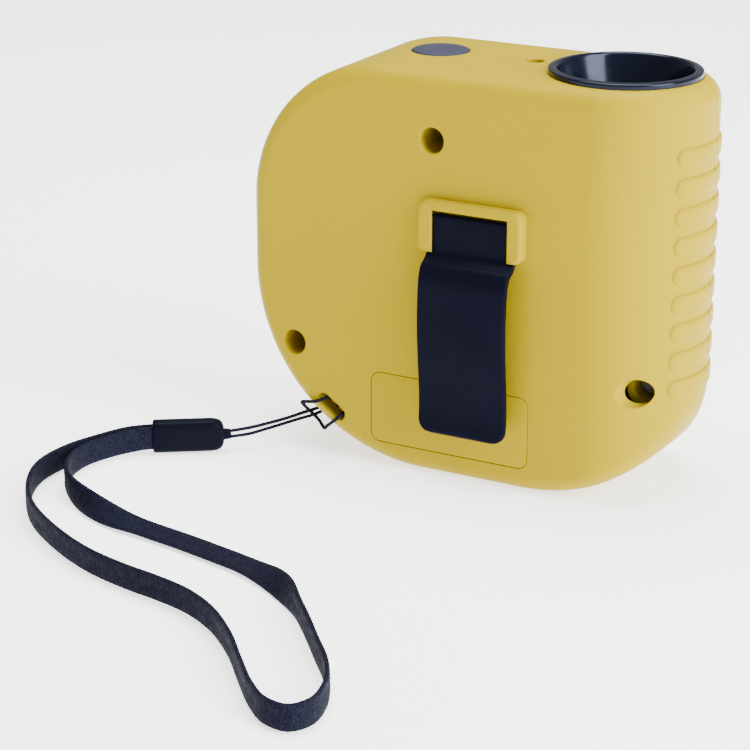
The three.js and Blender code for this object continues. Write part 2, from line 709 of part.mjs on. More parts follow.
// Centre line of the webbing loop: out of the slider, round on the floor and back to the slider.
const RIBBON_ROUTE = [
  [-72.4, -19.6, 4.4], [-77.4, -23.1, 4], [-81.6, -30.2, 3.6], [-84.7, -39.5, 3.4], [-84.6, -50.4, 3.4],
  [-80.1, -61, 3.4], [-71.4, -71.6, 3.4], [-58.3, -80.9, 3.4], [-44.3, -87.7, 3.4], [-32.3, -91, 3.4],
  [-22.7, -92.7, 3.4], [-13.5, -95.2, 3.4], [-4.6, -100, 3.4], [4.6, -107.9, 3.4], [12.9, -117.1, 3.4],
  [20.5, -125.2, 3.4], [26.2, -129.4, 3.4], [31.6, -129.9, 3.4], [34.1, -125.7, 3.4],
  [32.9, -118, 3.4], [28.6, -109.9, 3.4], [21, -100.9, 3.4], [12.5, -91.1, 3.4], [3.6, -81.6, 3],
  [-5.2, -74.6, 2.2], [-13.8, -70.3, 1.5], [-23.5, -67.8, 1.4], [-34.3, -65.5, 1.4],
  [-44.9, -63.8, 1.5], [-54.7, -62.5, 2], [-63.1, -60.2, 2.8], [-70.5, -56.5, 3.4],
  [-76.6, -50.7, 3.4], [-80.4, -43.5, 3.4], [-80.9, -36, 3.5], [-78.2, -28.7, 3.8],
  [-74.2, -23.3, 4.2], [-71.5, -21.1, 4.4],
];

// Centre line of the thin cord. It leaves the slider, passes through the side slot and out of the
// back slot, turns back round the bar, crosses over its own two legs and returns the same way.
const CORD_ROUTE = [
  [-56.2, -9.3, 5.1], [-53.2, -5.4, 5.2], [-50.2, -1.3, 5.6], [-46.4, 1.9, 6.7], [-43.6, 3.8, 7.8],
  [-41.1, 5, 8.8], strapPoint(-1.4, 5.6, -3.6), strapPoint(0.4, 5.8, -3.1),
  strapPoint(2.8, 5.7, -2.9), strapPoint(4.6, 5.1, -2.7), strapPoint(5.6, 3, -2.4),
  strapPoint(6, 0.8, -2.3), strapPoint(5.5, -0.7, -2.6), strapPoint(3.4, -0.9, -3.9),
  strapPoint(1.2, 0, -5.6), strapPoint(-0.9, 1.3, -6.9), strapPoint(-1.8, 2.3, -5.8),
  strapPoint(-2.3, 3, -3.4), strapPoint(-2.5, 3.1, -1.2), strapPoint(-2.8, 2.8, 0.5),
  strapPoint(-2.5, 2.2, 1.4), strapPoint(-0.8, 1.3, 1.8), strapPoint(1, 0.5, 2.3),
  strapPoint(2.8, -0.4, 2.8), strapPoint(4.6, -0.7, 3.2), strapPoint(5.3, 0.8, 3.2),
  strapPoint(5.2, 3, 2.9), strapPoint(4.6, 5.1, 1.6), strapPoint(2.8, 5.7, 0),
  strapPoint(0.4, 5.8, -1.6), strapPoint(-2.2, 5.4, -2.7), [-41.7, 4.9, 7.1],
  [-44, 3.8, 6.3], [-46.8, 1.9, 5.3], [-50.4, -1.5, 4.2], [-53.2, -5.8, 3.7], [-56, -9.9, 3.8],
];

// The slider stands on its edge, with its length along +X before it is turned.
function strapSlider() {
  const bevel = 0.8;
  const options = {
    depth: SLIDER_LENGTH - bevel * 2,
    bevelEnabled: true,
    bevelThickness: bevel,
    bevelSize: bevel,
    bevelOffset: -bevel,
    bevelSegments: 1,
    curveSegments: 2,
  };
  const outline = roundedRectangle(SLIDER_WIDTH, SLIDER_THICKNESS, 1.6);
  const geometry = new THREE.ExtrudeGeometry(outline, options);
  geometry.translate(0, 0, bevel);
  geometry.rotateY(Math.PI / 2);
  geometry.rotateZ(SLIDER_TURN);
  geometry.translate(...SLIDER_TAIL, SLIDER_WIDTH / 2 + GAP);
  return geometry;
}

// ---------------------------------------------------------------- assembly

const assembly = new THREE.Group();

function place(name, shape, material) {
  const geometry = shape instanceof THREE.BufferGeometry ? shape : toGeometry(shape);
  const mesh = new THREE.Mesh(geometry, material);
  mesh.name = name;
  assembly.add(mesh);
}

place('rear_shell', rearShell(), YELLOW);
place('front_shell', frontShell(), YELLOW);
place(
  'label_plate',
  plate(LABEL.x, LABEL.z, LABEL.width, LABEL.height, LABEL.radius, 0, LABEL_THICKNESS),
  YELLOW,
);
place('belt_clip', beltClip(), BLACK);
place('horn', horn(), HORN_BLACK);
place('transducer_gasket', transducerGasket(), RUBBER);
place('ultrasonic_transducer', ultrasonicTransducer(), ALUMINIUM);
place('laser_barrel', laserBarrel(), BRASS);
place('laser_lens', rodZ(LASER_X, SEAM_Y, 2.2, 93.6, 95, 16), CLEAR);
place(
  'laser_board',
  block(LASER_X - 3.4, LASER_X + 3.4, SEAM_Y - 2.6, SEAM_Y + 2.6, 80.2, 81.7),
  BOARD_GREEN,
);
place('read_button', readButton(), BUTTON_GREY);
place('button_switch', block(BUTTON_X - 3, BUTTON_X + 3, SEAM_Y - 3, SEAM_Y + 3, 86, 89.5), CHIP_BLACK);
place(
  'button_board',
  block(BUTTON_X - 4.5, BUTTON_X + 4.5, SEAM_Y - 5, BOARD_BACK - GAP, 84.1, 85.7),
  BOARD_GREEN,
);
place('main_board', mainBoard(), BOARD_GREEN);
place('controller_chip', block(-22, -10, 28.2, BOARD_BACK - GAP, 40, 52), CHIP_BLACK);
place('timing_crystal', block(-22, -11.5, 26.2, BOARD_BACK - GAP, 56, 60), STEEL);
place('drive_transformer', block(1, 10, 21.5, BOARD_BACK - GAP, 68, 77), CHIP_BLACK);
place('reservoir_capacitor', rodY(-28, 36, 3.2, 21.5, BOARD_BACK - GAP), BLACK);
place('buzzer', rodY(-30, 62, 6, 24, BOARD_BACK - GAP), CHIP_BLACK);
place('lcd_frame', lcdFrame(), BLACK);
place(
  'lcd_glass',
  block(DISPLAY_X - 20, DISPLAY_X + 20, 36.6, 39.4, DISPLAY_Z - 12, DISPLAY_Z + 12),
  GLASS_GREEN,
);
place(
  'lcd_connector',
  block(DISPLAY_X - 18, DISPLAY_X + 18, BOARD_FRONT + GAP, 36.3, DISPLAY_Z - 11.5, DISPLAY_Z - 9.3),
  SILICONE,
);
place(
  'display_window',
  plate(DISPLAY_X, DISPLAY_Z, WINDOW_WIDTH, WINDOW_HEIGHT, 2.4, CASE_DEPTH - 1.3, CASE_DEPTH),
  CLEAR,
);
place('key_mat', keyMat(), SILICONE);
keyPlaces().forEach(([x, z], i) => place(`key_${i + 1}`, keyCap(x, z), BUTTON_GREY));
place('battery_9v', battery(), BATTERY_CASE);
place('battery_snap', batterySnap(), BLACK);
place('battery_door', batteryDoor(), YELLOW);
place('door_hinge_pin', rodY(HINGE_X, HINGE_Z, HINGE_PIN_RADIUS, 2.2, 23.1, 12), STEEL);

CASE_SCREWS.forEach(([x, z], i) => {
  place(`case_screw_${i + 1}`, screw(x, z, 12.8, 2.6, 1.9, 1.35, 36), STEEL);
});
BOARD_SCREWS.forEach(([x, z], i) => {
  place(`board_screw_${i + 1}`, screw(x, z, 27.9, 2.1, 1.8, 1, 37.5), STEEL);
});

place('battery_lead_red', cord([
  [-3.7, 12.45, 54.2], [-3.7, 13.4, 57], [-3.2, 17.4, 60.5], [-2, 23, 62], [-0.8, 27, 62], [-0.4, 29.5, 62],
], 1.2, 9), RED_WIRE);
place('battery_lead_black', cord([
  [8.3, 12.45, 54.2], [8.3, 13.6, 57], [8, 18.4, 59.6], [7.6, 24, 60], [7.2, 27.4, 60], [7, 29.5, 60],
], 1.2, 9), BLACK_WIRE);
[-2.5, 2.5].forEach((dx, i) => place(`transducer_lead_${i + 1}`, cord([
  [END_X + dx, MID_Y, 55], [END_X + dx - 1.5, MID_Y + 0.6, 52.6], [24 + dx, 25 + i, 52 - i * 2],
  [15 + dx, 28 + i * 0.6, 53.5 - i * 2.5], [10 + dx, 29, 54 - i * 2.5], [8.5 + dx, 29.5, 54 - i * 2.5],
], 1, 10), i ? BLACK_WIRE : RED_WIRE));
place('laser_lead', cord([
  [LASER_X, SEAM_Y, 79.9], [LASER_X, SEAM_Y + 0.3, 79], [LASER_X - 0.6, SEAM_Y + 2.4, 78.6],
  [LASER_X - 1, SEAM_Y + 4.5, 78.8],
], 0.9, 5), RED_WIRE);

place('strap_cord', cord(CORD_ROUTE, CORD_DIAMETER, 40), WEBBING);
place('strap_slider', strapSlider(), BLACK);
place('strap_ribbon', ribbon(RIBBON_ROUTE, 60), WEBBING);

assembly.position.set(-ORIGIN_X, -ORIGIN_Y, 0);

const part = new THREE.Group();
part.add(assembly);

export default part;
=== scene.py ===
"""Handheld ultrasonic distance meter with its belt clip and wrist strap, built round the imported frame.

Shapes are drawn in millimetres in the case's own frame, as the CAD source does: x runs along the case
to its round end, y from the back face (0) to the display face (CASE_DEPTH), and z up from the base.
"""
import json
from math import asin, cos, pi, radians, sin, sqrt

import bmesh
import bpy
import numpy as np
from mathutils import Matrix, Vector


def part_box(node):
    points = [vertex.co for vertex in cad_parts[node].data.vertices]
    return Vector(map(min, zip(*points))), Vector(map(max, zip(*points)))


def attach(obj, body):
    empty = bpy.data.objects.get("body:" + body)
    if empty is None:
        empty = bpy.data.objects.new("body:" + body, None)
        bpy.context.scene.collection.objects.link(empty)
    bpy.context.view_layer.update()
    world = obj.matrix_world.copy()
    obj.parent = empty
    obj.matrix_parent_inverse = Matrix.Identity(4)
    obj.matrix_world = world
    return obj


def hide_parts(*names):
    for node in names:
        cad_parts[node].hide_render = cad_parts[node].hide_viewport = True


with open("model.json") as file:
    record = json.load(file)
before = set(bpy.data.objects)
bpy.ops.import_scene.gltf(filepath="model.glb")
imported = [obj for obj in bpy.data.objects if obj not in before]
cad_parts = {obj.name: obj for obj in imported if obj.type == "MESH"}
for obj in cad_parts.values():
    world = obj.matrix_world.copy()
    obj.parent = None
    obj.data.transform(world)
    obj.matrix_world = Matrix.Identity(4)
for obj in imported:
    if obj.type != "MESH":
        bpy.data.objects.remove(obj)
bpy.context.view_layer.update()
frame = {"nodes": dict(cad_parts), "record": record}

MM = 0.001

# ---------------------------------------------------------------- sizes, as in the CAD source

CASE_DEPTH = 44
CASE_TOP = 98.8
CASE_LEFT = -55.5
OUTLINE_RIGHT = 64
END_X = 32.7
MID_Y = CASE_DEPTH / 2
SEAM_Y = 24
WALL = 2.1
TOP_LEFT_RADIUS = 35.8
LOW_LEFT_RADIUS = 46.3
LOW_RIGHT_RADIUS = 46.3
BACK_EDGE_RADIUS = 4.3
FRONT_EDGE_RADIUS = 5.6
RAY_Z = 50
LIP = 0.2
SEAM_GAP = 0.06
INSIDE_Y = 38

PAD_COUNT = 9
PAD_TOP_Z = 83.3
PAD_PITCH = 6.88
PAD_HEIGHT = 4.8
PAD_BACK_Y = 9.7
PAD_SEAM_GAP = 0.14
# Steps in from a pad's outline, and how far each one stands out of the case.
PAD_SHOULDER = [(0, -0.25), (0, -0.05), (0.12, 0.1), (0.3, 0.28), (0.55, 0.43), (0.9, 0.52), (1.4, 0.55)]

CASE_SCREWS = [(-5.9, 83), (-43.4, 27.7), (45.9, 28.4)]
COUNTERBORE_RADIUS = 3.1
COUNTERBORE_DEPTH = 15
# The bore in the round end, with its flared mouth, as (radius, y) from inside to outside.
FLARED_BORE = [(3.1, 10.5), (3.1, 6.8), (3.2, 5.6), (3.5, 4.3), (4, 3), (4.8, 1.6), (5.4, -2)]
POST_RADIUS = 4.8
SCREW_HOLE_RADIUS = 1.7

CLIP_X = 5.4
CLIP_WIDTH = 22.8
CLIP_THICKNESS = 1.5
CLIP_CORNER = 3.4
CLIP_EDGE = 0.55
# The clip's middle line in the (y, z) plane, from its held end to its tip.
CLIP_LINE = [
    (-1.35, 66.4), (-1.35, 61), (-1.4, 56.9), (-2.9, 55.2), (-4.6, 54), (-5.6, 51.5), (-6.1, 46),
    (-6.2, 40), (-5.7, 32), (-5, 25), (-4.8, 20), (-5.1, 16), (-5.6, 13.4),
]
BRACKET_HALF = 13.5
BRACKET_OPENING_HALF = 9.7
BRACKET_TOP = 69.4
BRACKET_BOTTOM = 56.9
BRACKET_BAR = 2.2
BRACKET_RISE = 3
BRACKET_PLATE = 0.6
BRACKET_EDGE = 1.1
BRACKET_CORNER = 2.2
CLIP_GAP = 0.3

LABEL_X = -0.85
LABEL_Z = 15
LABEL_WIDTH = 41.9
LABEL_HEIGHT = 17.8
LABEL_RADIUS = 2.5
LABEL_GAP = 0.15

HORN_RIM_RADIUS = 17.9
HORN_NECK_RADIUS = 16.6
# The horn's section as (radius, z, rounding): up the inside, over the rim and down the outside.
HORN_SECTION = [
    (7.4, 73, 0), (8.6, 77, 1.5), (13.2, 91, 3), (14.9, 97, 1.5), (15.7, 99.9, 0.4), (16.1, 100.25, 0.4),
    (HORN_RIM_RADIUS, 100.05, 0.45), (HORN_RIM_RADIUS, 98.1, 0.2), (HORN_NECK_RADIUS, 98.1, 0),
    (HORN_NECK_RADIUS, 96, 0), (15, 91, 0), (11.6, 78, 0), (11.6, 58, 0), (10.2, 58, 0), (10.2, 73, 0),
]
HORN_RECESS_Z = 98
LASER_X = 8.9
LASER_HOLE_RADIUS = 2.4
BUTTON_X = -16
BUTTON_RADIUS = 6.9
# The button's section as (radius, z, rounding): stem, retaining flange, side and domed top.
BUTTON_SECTION = [
    (0.02, 90.9, 0), (2, 90.9, 0.2), (2, 94.2, 0.2), (8.2, 94.2, 0.3), (8.2, 95.4, 0.3),
    (BUTTON_RADIUS, 95.6, 0.2), (BUTTON_RADIUS, 98.95, 0.5), (5.2, 99.3, 1.2), (0.02, 99.5, 0),
]

DISPLAY_X = -17
DISPLAY_Z = 62
WINDOW_WIDTH = 42
WINDOW_HEIGHT = 26
WINDOW_RADIUS = 2.4
WINDOW_GAP = 0.15
KEY_COLUMNS = [-31, -17, -3]
KEY_ROWS = [39, 26]
KEY_WIDTH = 11
KEY_HEIGHT = 8.5
KEY_RADIUS = 2.6
KEY_RISE = 0.8
# Steps in from a key's outline, and how far each one lies below the middle of its top.
KEY_DOME = [(0, 0.75), (0.1, 0.5), (0.3, 0.3), (0.7, 0.15), (1.5, 0.05), (2.3, 0)]

DOOR_LEFT = -13.3
DOOR_BACK = 3.9
DOOR_FRONT = 21.7
DOOR_GAP = 0.3
DOOR_DEPTH = 3.4
HINGE_X = 17.1
# How far the blocks that hold the hinge pin reach to either side of it, and their top.
HINGE_BLOCK = (-1.6, 2.6)
HINGE_BLOCK_TOP = 4.4
BACK_INSIDE = 1.9
BAY_WALL_CENTRES = (-12, 16.6)
BAY_WALL_THICKNESS = 1.4
BAY_FRONT = 22.6
BAY_BOTTOM = 4.6
BAY_TOP = 49.2

STRAP_ANGLE = pi + 0.955
STRAP_DEPTH = 5
STRAP_SLOT_LENGTH = 8.4
STRAP_SLOT_WIDTH = 3.2
STRAP_SIDE_Y = 5.7
STRAP_SIDE_WIDTH = 2.8
CORD_DIAMETER = 0.9
RIBBON_WIDTH = 6
RIBBON_THICKNESS = 1.4
RIB_PITCH = 1.5
RIB_SLANT = 1.7
RIB_HEIGHT = 0.08
BRAID_TWIST = 5.2
SLIDER_WIDTH = 8.2
SLIDER_THICKNESS = 4.6
SLIDER_TAIL = (-71.4, -19.7)
SLIDER_DIRECTION = Vector((14.6, 9.8, 0)).normalized()
SLIDER_LIFT = 0.3
# Places along the slider, with its height and thickness there as shares of the full size.
SLIDER_PROFILE = [
    (-1.1, 0.90, 0.86), (-0.95, 0.95, 0.93), (-0.6, 1, 1), (1.2, 1, 1), (8, 1, 1), (13.2, 1, 0.98),
    (14.6, 0.97, 0.94), (15.5, 0.89, 0.86), (16.1, 0.76, 0.74), (16.45, 0.55, 0.56), (16.55, 0.3, 0.4),
]
# The stub that the cord leaves by: places along the slider, and its half height there.
STUB_PROFILE = [(16.2, 1.5), (17.2, 1.4), (18.1, 1.25), (18.3, 0.9)]

# The case frame's origin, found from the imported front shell.
FRONT_LOW, FRONT_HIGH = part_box("front_shell")
SHIFT = Vector((FRONT_LOW[0] / MM - CASE_LEFT, FRONT_HIGH[1] / MM - CASE_DEPTH, 0))


def metres(point):
    """A point of the case frame, in millimetres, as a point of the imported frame, in metres."""
    return (Vector(point) + SHIFT) * MM


# ---------------------------------------------------------------- camera

CAMERA_PLACE = (244.9, -484.0, 221.2)
CAMERA_AZIMUTH = radians(28.76)
CAMERA_ELEVATION = radians(19.75)
CAMERA_LENS = 116.3


def make_camera():
    camera = bpy.data.cameras.new("camera")
    camera.sensor_width = 36
    camera.lens = CAMERA_LENS
    item = bpy.data.objects.new("camera", camera)
    bpy.context.scene.collection.objects.link(item)
    turn = Matrix.Rotation(CAMERA_AZIMUTH, 4, "Z") @ Matrix.Rotation(pi / 2 - CAMERA_ELEVATION, 4, "X")
    item.matrix_world = Matrix.Translation(metres(CAMERA_PLACE)) @ turn
    bpy.context.scene.camera = item


make_camera()

# ---------------------------------------------------------------- materials


class Shader:
    """A node material with a few helpers, whose patterns lie in each piece's own coordinates."""

    def __init__(self, name, colour, roughness, metallic=0.0):
        self.material = bpy.data.materials.new(name)
        self.material.use_nodes = True
        self.nodes = self.material.node_tree.nodes
        self.links = self.material.node_tree.links
        self.surface = self.nodes["Principled BSDF"]
        self.surface.inputs["Base Color"].default_value = (*colour, 1)
        self.surface.inputs["Roughness"].default_value = roughness
        self.surface.inputs["Metallic"].default_value = metallic
        self.colour = colour
        self.coordinates = self.nodes.new("ShaderNodeTexCoord")
        self.normal = None

    def node(self, kind, inputs):
        made = self.nodes.new(kind)
        for key, value in inputs.items():
            made.inputs[key].default_value = value
        return made

    def noise(self, scale, detail):
        made = self.node("ShaderNodeTexNoise", {"Scale": scale, "Detail": detail})
        self.links.new(self.coordinates.outputs["Object"], made.inputs["Vector"])
        return made.outputs["Fac"]

    def ramp(self, value, low, high):
        """Spreads the middle of a noise over the range from low to high."""
        spread = {"From Min": 0.35, "From Max": 0.65, "To Min": low, "To Max": high}
        made = self.node("ShaderNodeMapRange", spread)
        self.links.new(value, made.inputs["Value"])
        return made.outputs["Result"]

    def mottle(self, scale, amount, tint=None):
        """Lets the colour drift towards a tint, or towards a darker shade of itself."""
        if tint is None:
            tint = tuple(channel * 0.85 for channel in self.colour)
        mix = self.nodes.new("ShaderNodeMix")
        mix.data_type = "RGBA"
        mix.inputs[6].default_value = (*self.colour, 1)
        mix.inputs[7].default_value = (*tint, 1)
        self.links.new(self.ramp(self.noise(scale, 3), 0, amount), mix.inputs[0])
        self.links.new(mix.outputs[2], self.surface.inputs["Base Color"])
        return self

    def rough(self, scale, low, high):
        """Varies the roughness between two values."""
        self.links.new(self.ramp(self.noise(scale, 3), low, high), self.surface.inputs["Roughness"])
        return self

    def grain(self, scale, depth):
        """Adds a fine relief on top of those already there."""
        made = self.node("ShaderNodeBump", {"Strength": 1, "Distance": depth})
        self.links.new(self.noise(scale, 2), made.inputs["Height"])
        if self.normal is not None:
            self.links.new(self.normal, made.inputs["Normal"])
        self.normal = made.outputs["Normal"]
        self.links.new(self.normal, self.surface.inputs["Normal"])
        return self

    def socket(self, name, value):
        self.surface.inputs[name].default_value = value
        return self


def yellow_plastic():
    """Spark-eroded moulded plastic: fine grain and a slow drift of colour."""
    shader = Shader("yellow_plastic", (0.36, 0.262, 0.0), 0.48)
    shader.mottle(25, 0.35, (0.34, 0.245, 0.0)).rough(60, 0.38, 0.46)
    shader.grain(1400, 0.00004).grain(220, 0.00005)
    shader.socket("Specular Tint", (1, 0.85, 0.2, 1))
    return shader.socket("Specular IOR Level", 0.08).material


def dark_plastic(name, colour, roughness):
    shader = Shader(name, colour, roughness)
    shader.mottle(90, 0.5, tuple(min(1, channel * 1.35) for channel in colour))
    shader.rough(150, roughness - 0.06, roughness + 0.06)
    shader.socket("Specular IOR Level", 0.03).socket("Specular Tint", (0.55, 0.6, 1, 1))
    return shader.grain(1700, 0.00003).material


def horn_plastic():
    shader = Shader("horn_plastic", (0.003, 0.004, 0.010), 0.16)
    shader.rough(110, 0.13, 0.22).grain(900, 0.000006)
    shader.socket("Specular Tint", (0.65, 0.72, 1, 1))
    return shader.socket("Specular IOR Level", 0.25).material


def metal(name, colour, roughness):
    shader = Shader(name, colour, roughness, 1.0)
    shader.mottle(300, 0.4).rough(500, roughness - 0.08, roughness + 0.1)
    return shader.grain(1500, 0.00001).material


def rubber(name, colour):
    shader = Shader(name, colour, 0.75)
    return shader.mottle(200, 0.5).rough(300, 0.7, 0.85).grain(1300, 0.00003).material


def circuit_board():
    shader = Shader("solder_mask", (0.012, 0.13, 0.045), 0.4)
    shader.mottle(700, 0.8, (0.03, 0.24, 0.09)).rough(300, 0.3, 0.5)
    return shader.grain(900, 0.00003).material


def clear_window():
    shader = Shader("window_plastic", (0.62, 0.68, 0.68), 0.08)
    shader.rough(200, 0.06, 0.11)
    return shader.socket("Transmission Weight", 0.85).socket("IOR", 1.49).material


def display_glass():
    shader = Shader("display_glass", (0.27, 0.33, 0.24), 0.25)
    return shader.mottle(60, 0.5, (0.33, 0.38, 0.28)).rough(400, 0.2, 0.3).material


def printed_battery():
    shader = Shader("battery_sleeve", (0.03, 0.035, 0.045), 0.3, 0.3)
    shader.mottle(120, 0.6, (0.10, 0.11, 0.13)).rough(150, 0.25, 0.4)
    return shader.grain(700, 0.00001).material


def webbing():
    """Woven nylon: matt yarn with fine fibres."""
    shader = Shader("woven_nylon", (0.002, 0.002, 0.007), 0.75)
    shader.mottle(2600, 0.9, (0.012, 0.013, 0.024)).rough(600, 0.65, 0.85)
    shader.grain(5200, 0.00012)
    shader.socket("Specular Tint", (0.6, 0.7, 1, 1))
    return shader.socket("Specular IOR Level", 0.06).material


YELLOW = yellow_plastic()
CLIP_BLACK = dark_plastic("clip_plastic", (0.003, 0.0033, 0.008), 0.4)
HORN_BLACK = horn_plastic()
BUTTON_GREY = dark_plastic("button_plastic", (0.035, 0.037, 0.055), 0.42)
SLIDER_BLACK = dark_plastic("slider_plastic", (0.003, 0.0033, 0.007), 0.34)
PART_BLACK = dark_plastic("component_plastic", (0.014, 0.014, 0.016), 0.5)
WEBBING = webbing()
WINDOW = clear_window()

SLOT_MATERIALS = {
    "yellow_shell": YELLOW,
    "clip_black": CLIP_BLACK,
    "horn_black": HORN_BLACK,
    "gasket_rubber": rubber("gasket_rubber", (0.02, 0.02, 0.022)),
    "sensor_can": metal("sensor_aluminium", (0.72, 0.73, 0.75), 0.35),
    "brass": metal("turned_brass", (0.55, 0.40, 0.14), 0.3),
    "lens_glass": WINDOW,
    "circuit_board": circuit_board(),
    "button_grey": BUTTON_GREY,
    "component_black": PART_BLACK,
    "screw_steel": metal("blackened_steel", (0.16, 0.15, 0.14), 0.4),
    "lcd_glass": display_glass(),
    "silicone": rubber("grey_silicone", (0.42, 0.44, 0.46)),
    "window_clear": WINDOW,
    "battery_case": printed_battery(),
    "wire_red": dark_plastic("red_insulation", (0.40, 0.02, 0.02), 0.5),
    "wire_black": dark_plastic("black_insulation", (0.010, 0.010, 0.011), 0.5),
    "strap_fabric": WEBBING,
    "slider_black": SLIDER_BLACK,
}


def paint_cad_nodes():
    """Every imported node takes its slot's material, and is shaded smooth across its shallow edges."""
    for row in frame["record"]["subparts"]:
        item = frame["nodes"][row["node"]]
        item.data.materials.clear()
        item.data.materials.append(SLOT_MATERIALS[row["material_slot"]])
        item.data.shade_smooth()
        item.data.set_sharp_from_angle(angle=radians(32))


paint_cad_nodes()

# ---------------------------------------------------------------- meshes


def make_piece(name, points, faces, material, slot, body="case", replaced=(), sharp=35):
    """A closed mesh from case-frame points, riding on a body and standing for CAD nodes."""
    item = plain_object(name, (points, faces))
    finish_piece(item, material, body, replaced, sharp)
    return item


def finish_piece(item, material, body="case", replaced=(), sharp=35):
    """Gives a piece its material and shading, its body, and hides the CAD nodes that it replaces."""
    item.data.materials.clear()
    item.data.materials.append(material)
    item.data.shade_smooth()
    item.data.set_sharp_from_angle(angle=radians(sharp))
    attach(item, body)
    if replaced:
        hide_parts(*replaced)


def face_outwards(item):
    """Joins points that coincide and turns every face of a closed mesh to the outside."""
    work = bmesh.new()
    work.from_mesh(item.data)
    bmesh.ops.remove_doubles(work, verts=work.verts, dist=1e-7)
    bmesh.ops.recalc_face_normals(work, faces=work.faces)
    if work.calc_volume(signed=True) < 0:
        bmesh.ops.reverse_faces(work, faces=work.faces)
    work.to_mesh(item.data)
    work.free()


def skin(rings, closed=False):
    """Points and faces of a loft through rings of equal length, capped unless it closes on itself."""
    count = len(rings[0])
    points = [tuple(point) for ring in rings for point in ring]
    faces = []
    bands = len(rings) if closed else len(rings) - 1
    for k in range(bands):
        first = k * count
        second = ((k + 1) % len(rings)) * count
        for i in range(count):
            j = (i + 1) % count
            faces.append((first + i, first + j, second + j, second + i))
    if not closed:
        faces.append(tuple(range(count)))
        faces.append(tuple(range((len(rings) - 1) * count, len(rings) * count)))
    return points, faces


def merged(shapes):
    """Several (points, faces) shapes as one."""
    points = []
    faces = []
    for some_points, some_faces in shapes:
        start = len(points)
        points.extend(some_points)
        faces.extend(tuple(start + i for i in face) for face in some_faces)
    return points, faces


def lathe(profile, x, y, z, axis="Z", sides=96, closed=True):
    """A profile of (radius, height) turned about an axis through (x, y, z)."""
    rings = []
    for radius, height in profile:
        ring = []
        for i in range(sides):
            angle = 2 * pi * i / sides
            a, b = radius * cos(angle), radius * sin(angle)
            ring.append((x + a, y + b, z + height) if axis == "Z" else (x + a, y + height, z + b))
        rings.append(ring)
    return skin(rings, closed)


def cylinder(radius, low, high, x, y, sides):
    return lathe([(radius, low), (radius, high)], x, y, 0, "Z", sides, closed=False)


def fillet(start, corner, end, radius, steps):
    """Points that round a corner of a profile."""
    start, corner, end = (Vector(point) for point in (start, corner, end))
    into = corner + (start - corner).normalized() * radius
    out = corner + (end - corner).normalized() * radius
    points = []
    for i in range(steps + 1):
        t = i / steps
        points.append(tuple(into * (1 - t) ** 2 + corner * 2 * t * (1 - t) + out * t * t))
    return points


def rounded_profile(corners, steps):
    """A profile through (radius, height, rounding) corners, each rounded by its own amount."""
    places = [(radius, height) for radius, height, _ in corners]
    points = []
    for i, (radius, height, rounding) in enumerate(corners):
        if rounding == 0:
            points.append((radius, height))
        else:
            points.extend(fillet(places[i - 1], places[i], places[i + 1], rounding, steps))
    return points


def stadium(width, height, radius, steps=8):
    """A rounded rectangle about the origin, counter-clockwise."""
    points = []
    for quarter, (sx, sy) in enumerate(((1, 1), (-1, 1), (-1, -1), (1, -1))):
        for i in range(steps + 1):
            angle = (quarter + i / steps) * pi / 2
            points.append((
                sx * (width / 2 - radius) + radius * cos(angle),
                sy * (height / 2 - radius) + radius * sin(angle),
            ))
    return points


def inset_outline(outline, inset):
    """The outline moved inwards by the same distance all round."""
    count = len(outline)
    points = []
    for i in range(count):
        before, here, after = (Vector(outline[(i + k) % count]) for k in (-1, 0, 1))
        a = (here - before).normalized()
        b = (after - here).normalized()
        normal = Vector((-a.y - b.y, a.x + b.x))
        scale = 2 / max(normal.length_squared, 0.4)
        points.append(tuple(here + normal * scale * inset))
    return points


def soft_plate(outline, x, z, y_back, y_front, edge, steps=4):
    """An outline extruded along y, with its edge rounded where it faces out (y_front)."""
    direction = 1 if y_front > y_back else -1
    layers = [(0, y_back)]
    for i in range(steps + 1):
        t = i / steps * pi / 2
        layers.append((edge * (1 - cos(t)), y_front - direction * edge * (1 - sin(t))))
    rings = []
    for inset, y in layers:
        rings.append([(x + a, y, z + b) for a, b in inset_outline(outline, inset)])
    return skin(rings)


def box_shape(x0, x1, y0, y1, z0, z1):
    ring = [(x0, y0), (x1, y0), (x1, y1), (x0, y1)]
    return skin([[(x, y, z0) for x, y in ring], [(x, y, z1) for x, y in ring]])


def plain_object(name, shape):
    """A closed mesh object from case-frame points and faces, with no material or body yet."""
    points, faces = shape
    mesh = bpy.data.meshes.new(name)
    mesh.from_pydata([metres(point) for point in points], [], faces)
    item = bpy.data.objects.new(name, mesh)
    bpy.context.scene.collection.objects.link(item)
    face_outwards(item)
    return item


def cut_out(item, shapes):
    """Cuts closed shapes out of a piece, one by one, and keeps the result as its mesh."""
    for shape in shapes:
        tool = plain_object("tool", shape)
        modifier = item.modifiers.new("cut", "BOOLEAN")
        modifier.operation = "DIFFERENCE"
        modifier.solver = "EXACT"
        modifier.object = tool
        graph = bpy.context.evaluated_depsgraph_get()
        result = bpy.data.meshes.new_from_object(item.evaluated_get(graph))
        item.modifiers.clear()
        item.data = result
        bpy.data.objects.remove(tool)


def smoothstep(low, high, value):
    t = np.clip((value - low) / (high - low), 0, 1)
    return t * t * (3 - 2 * t)


# ---------------------------------------------------------------- case surface


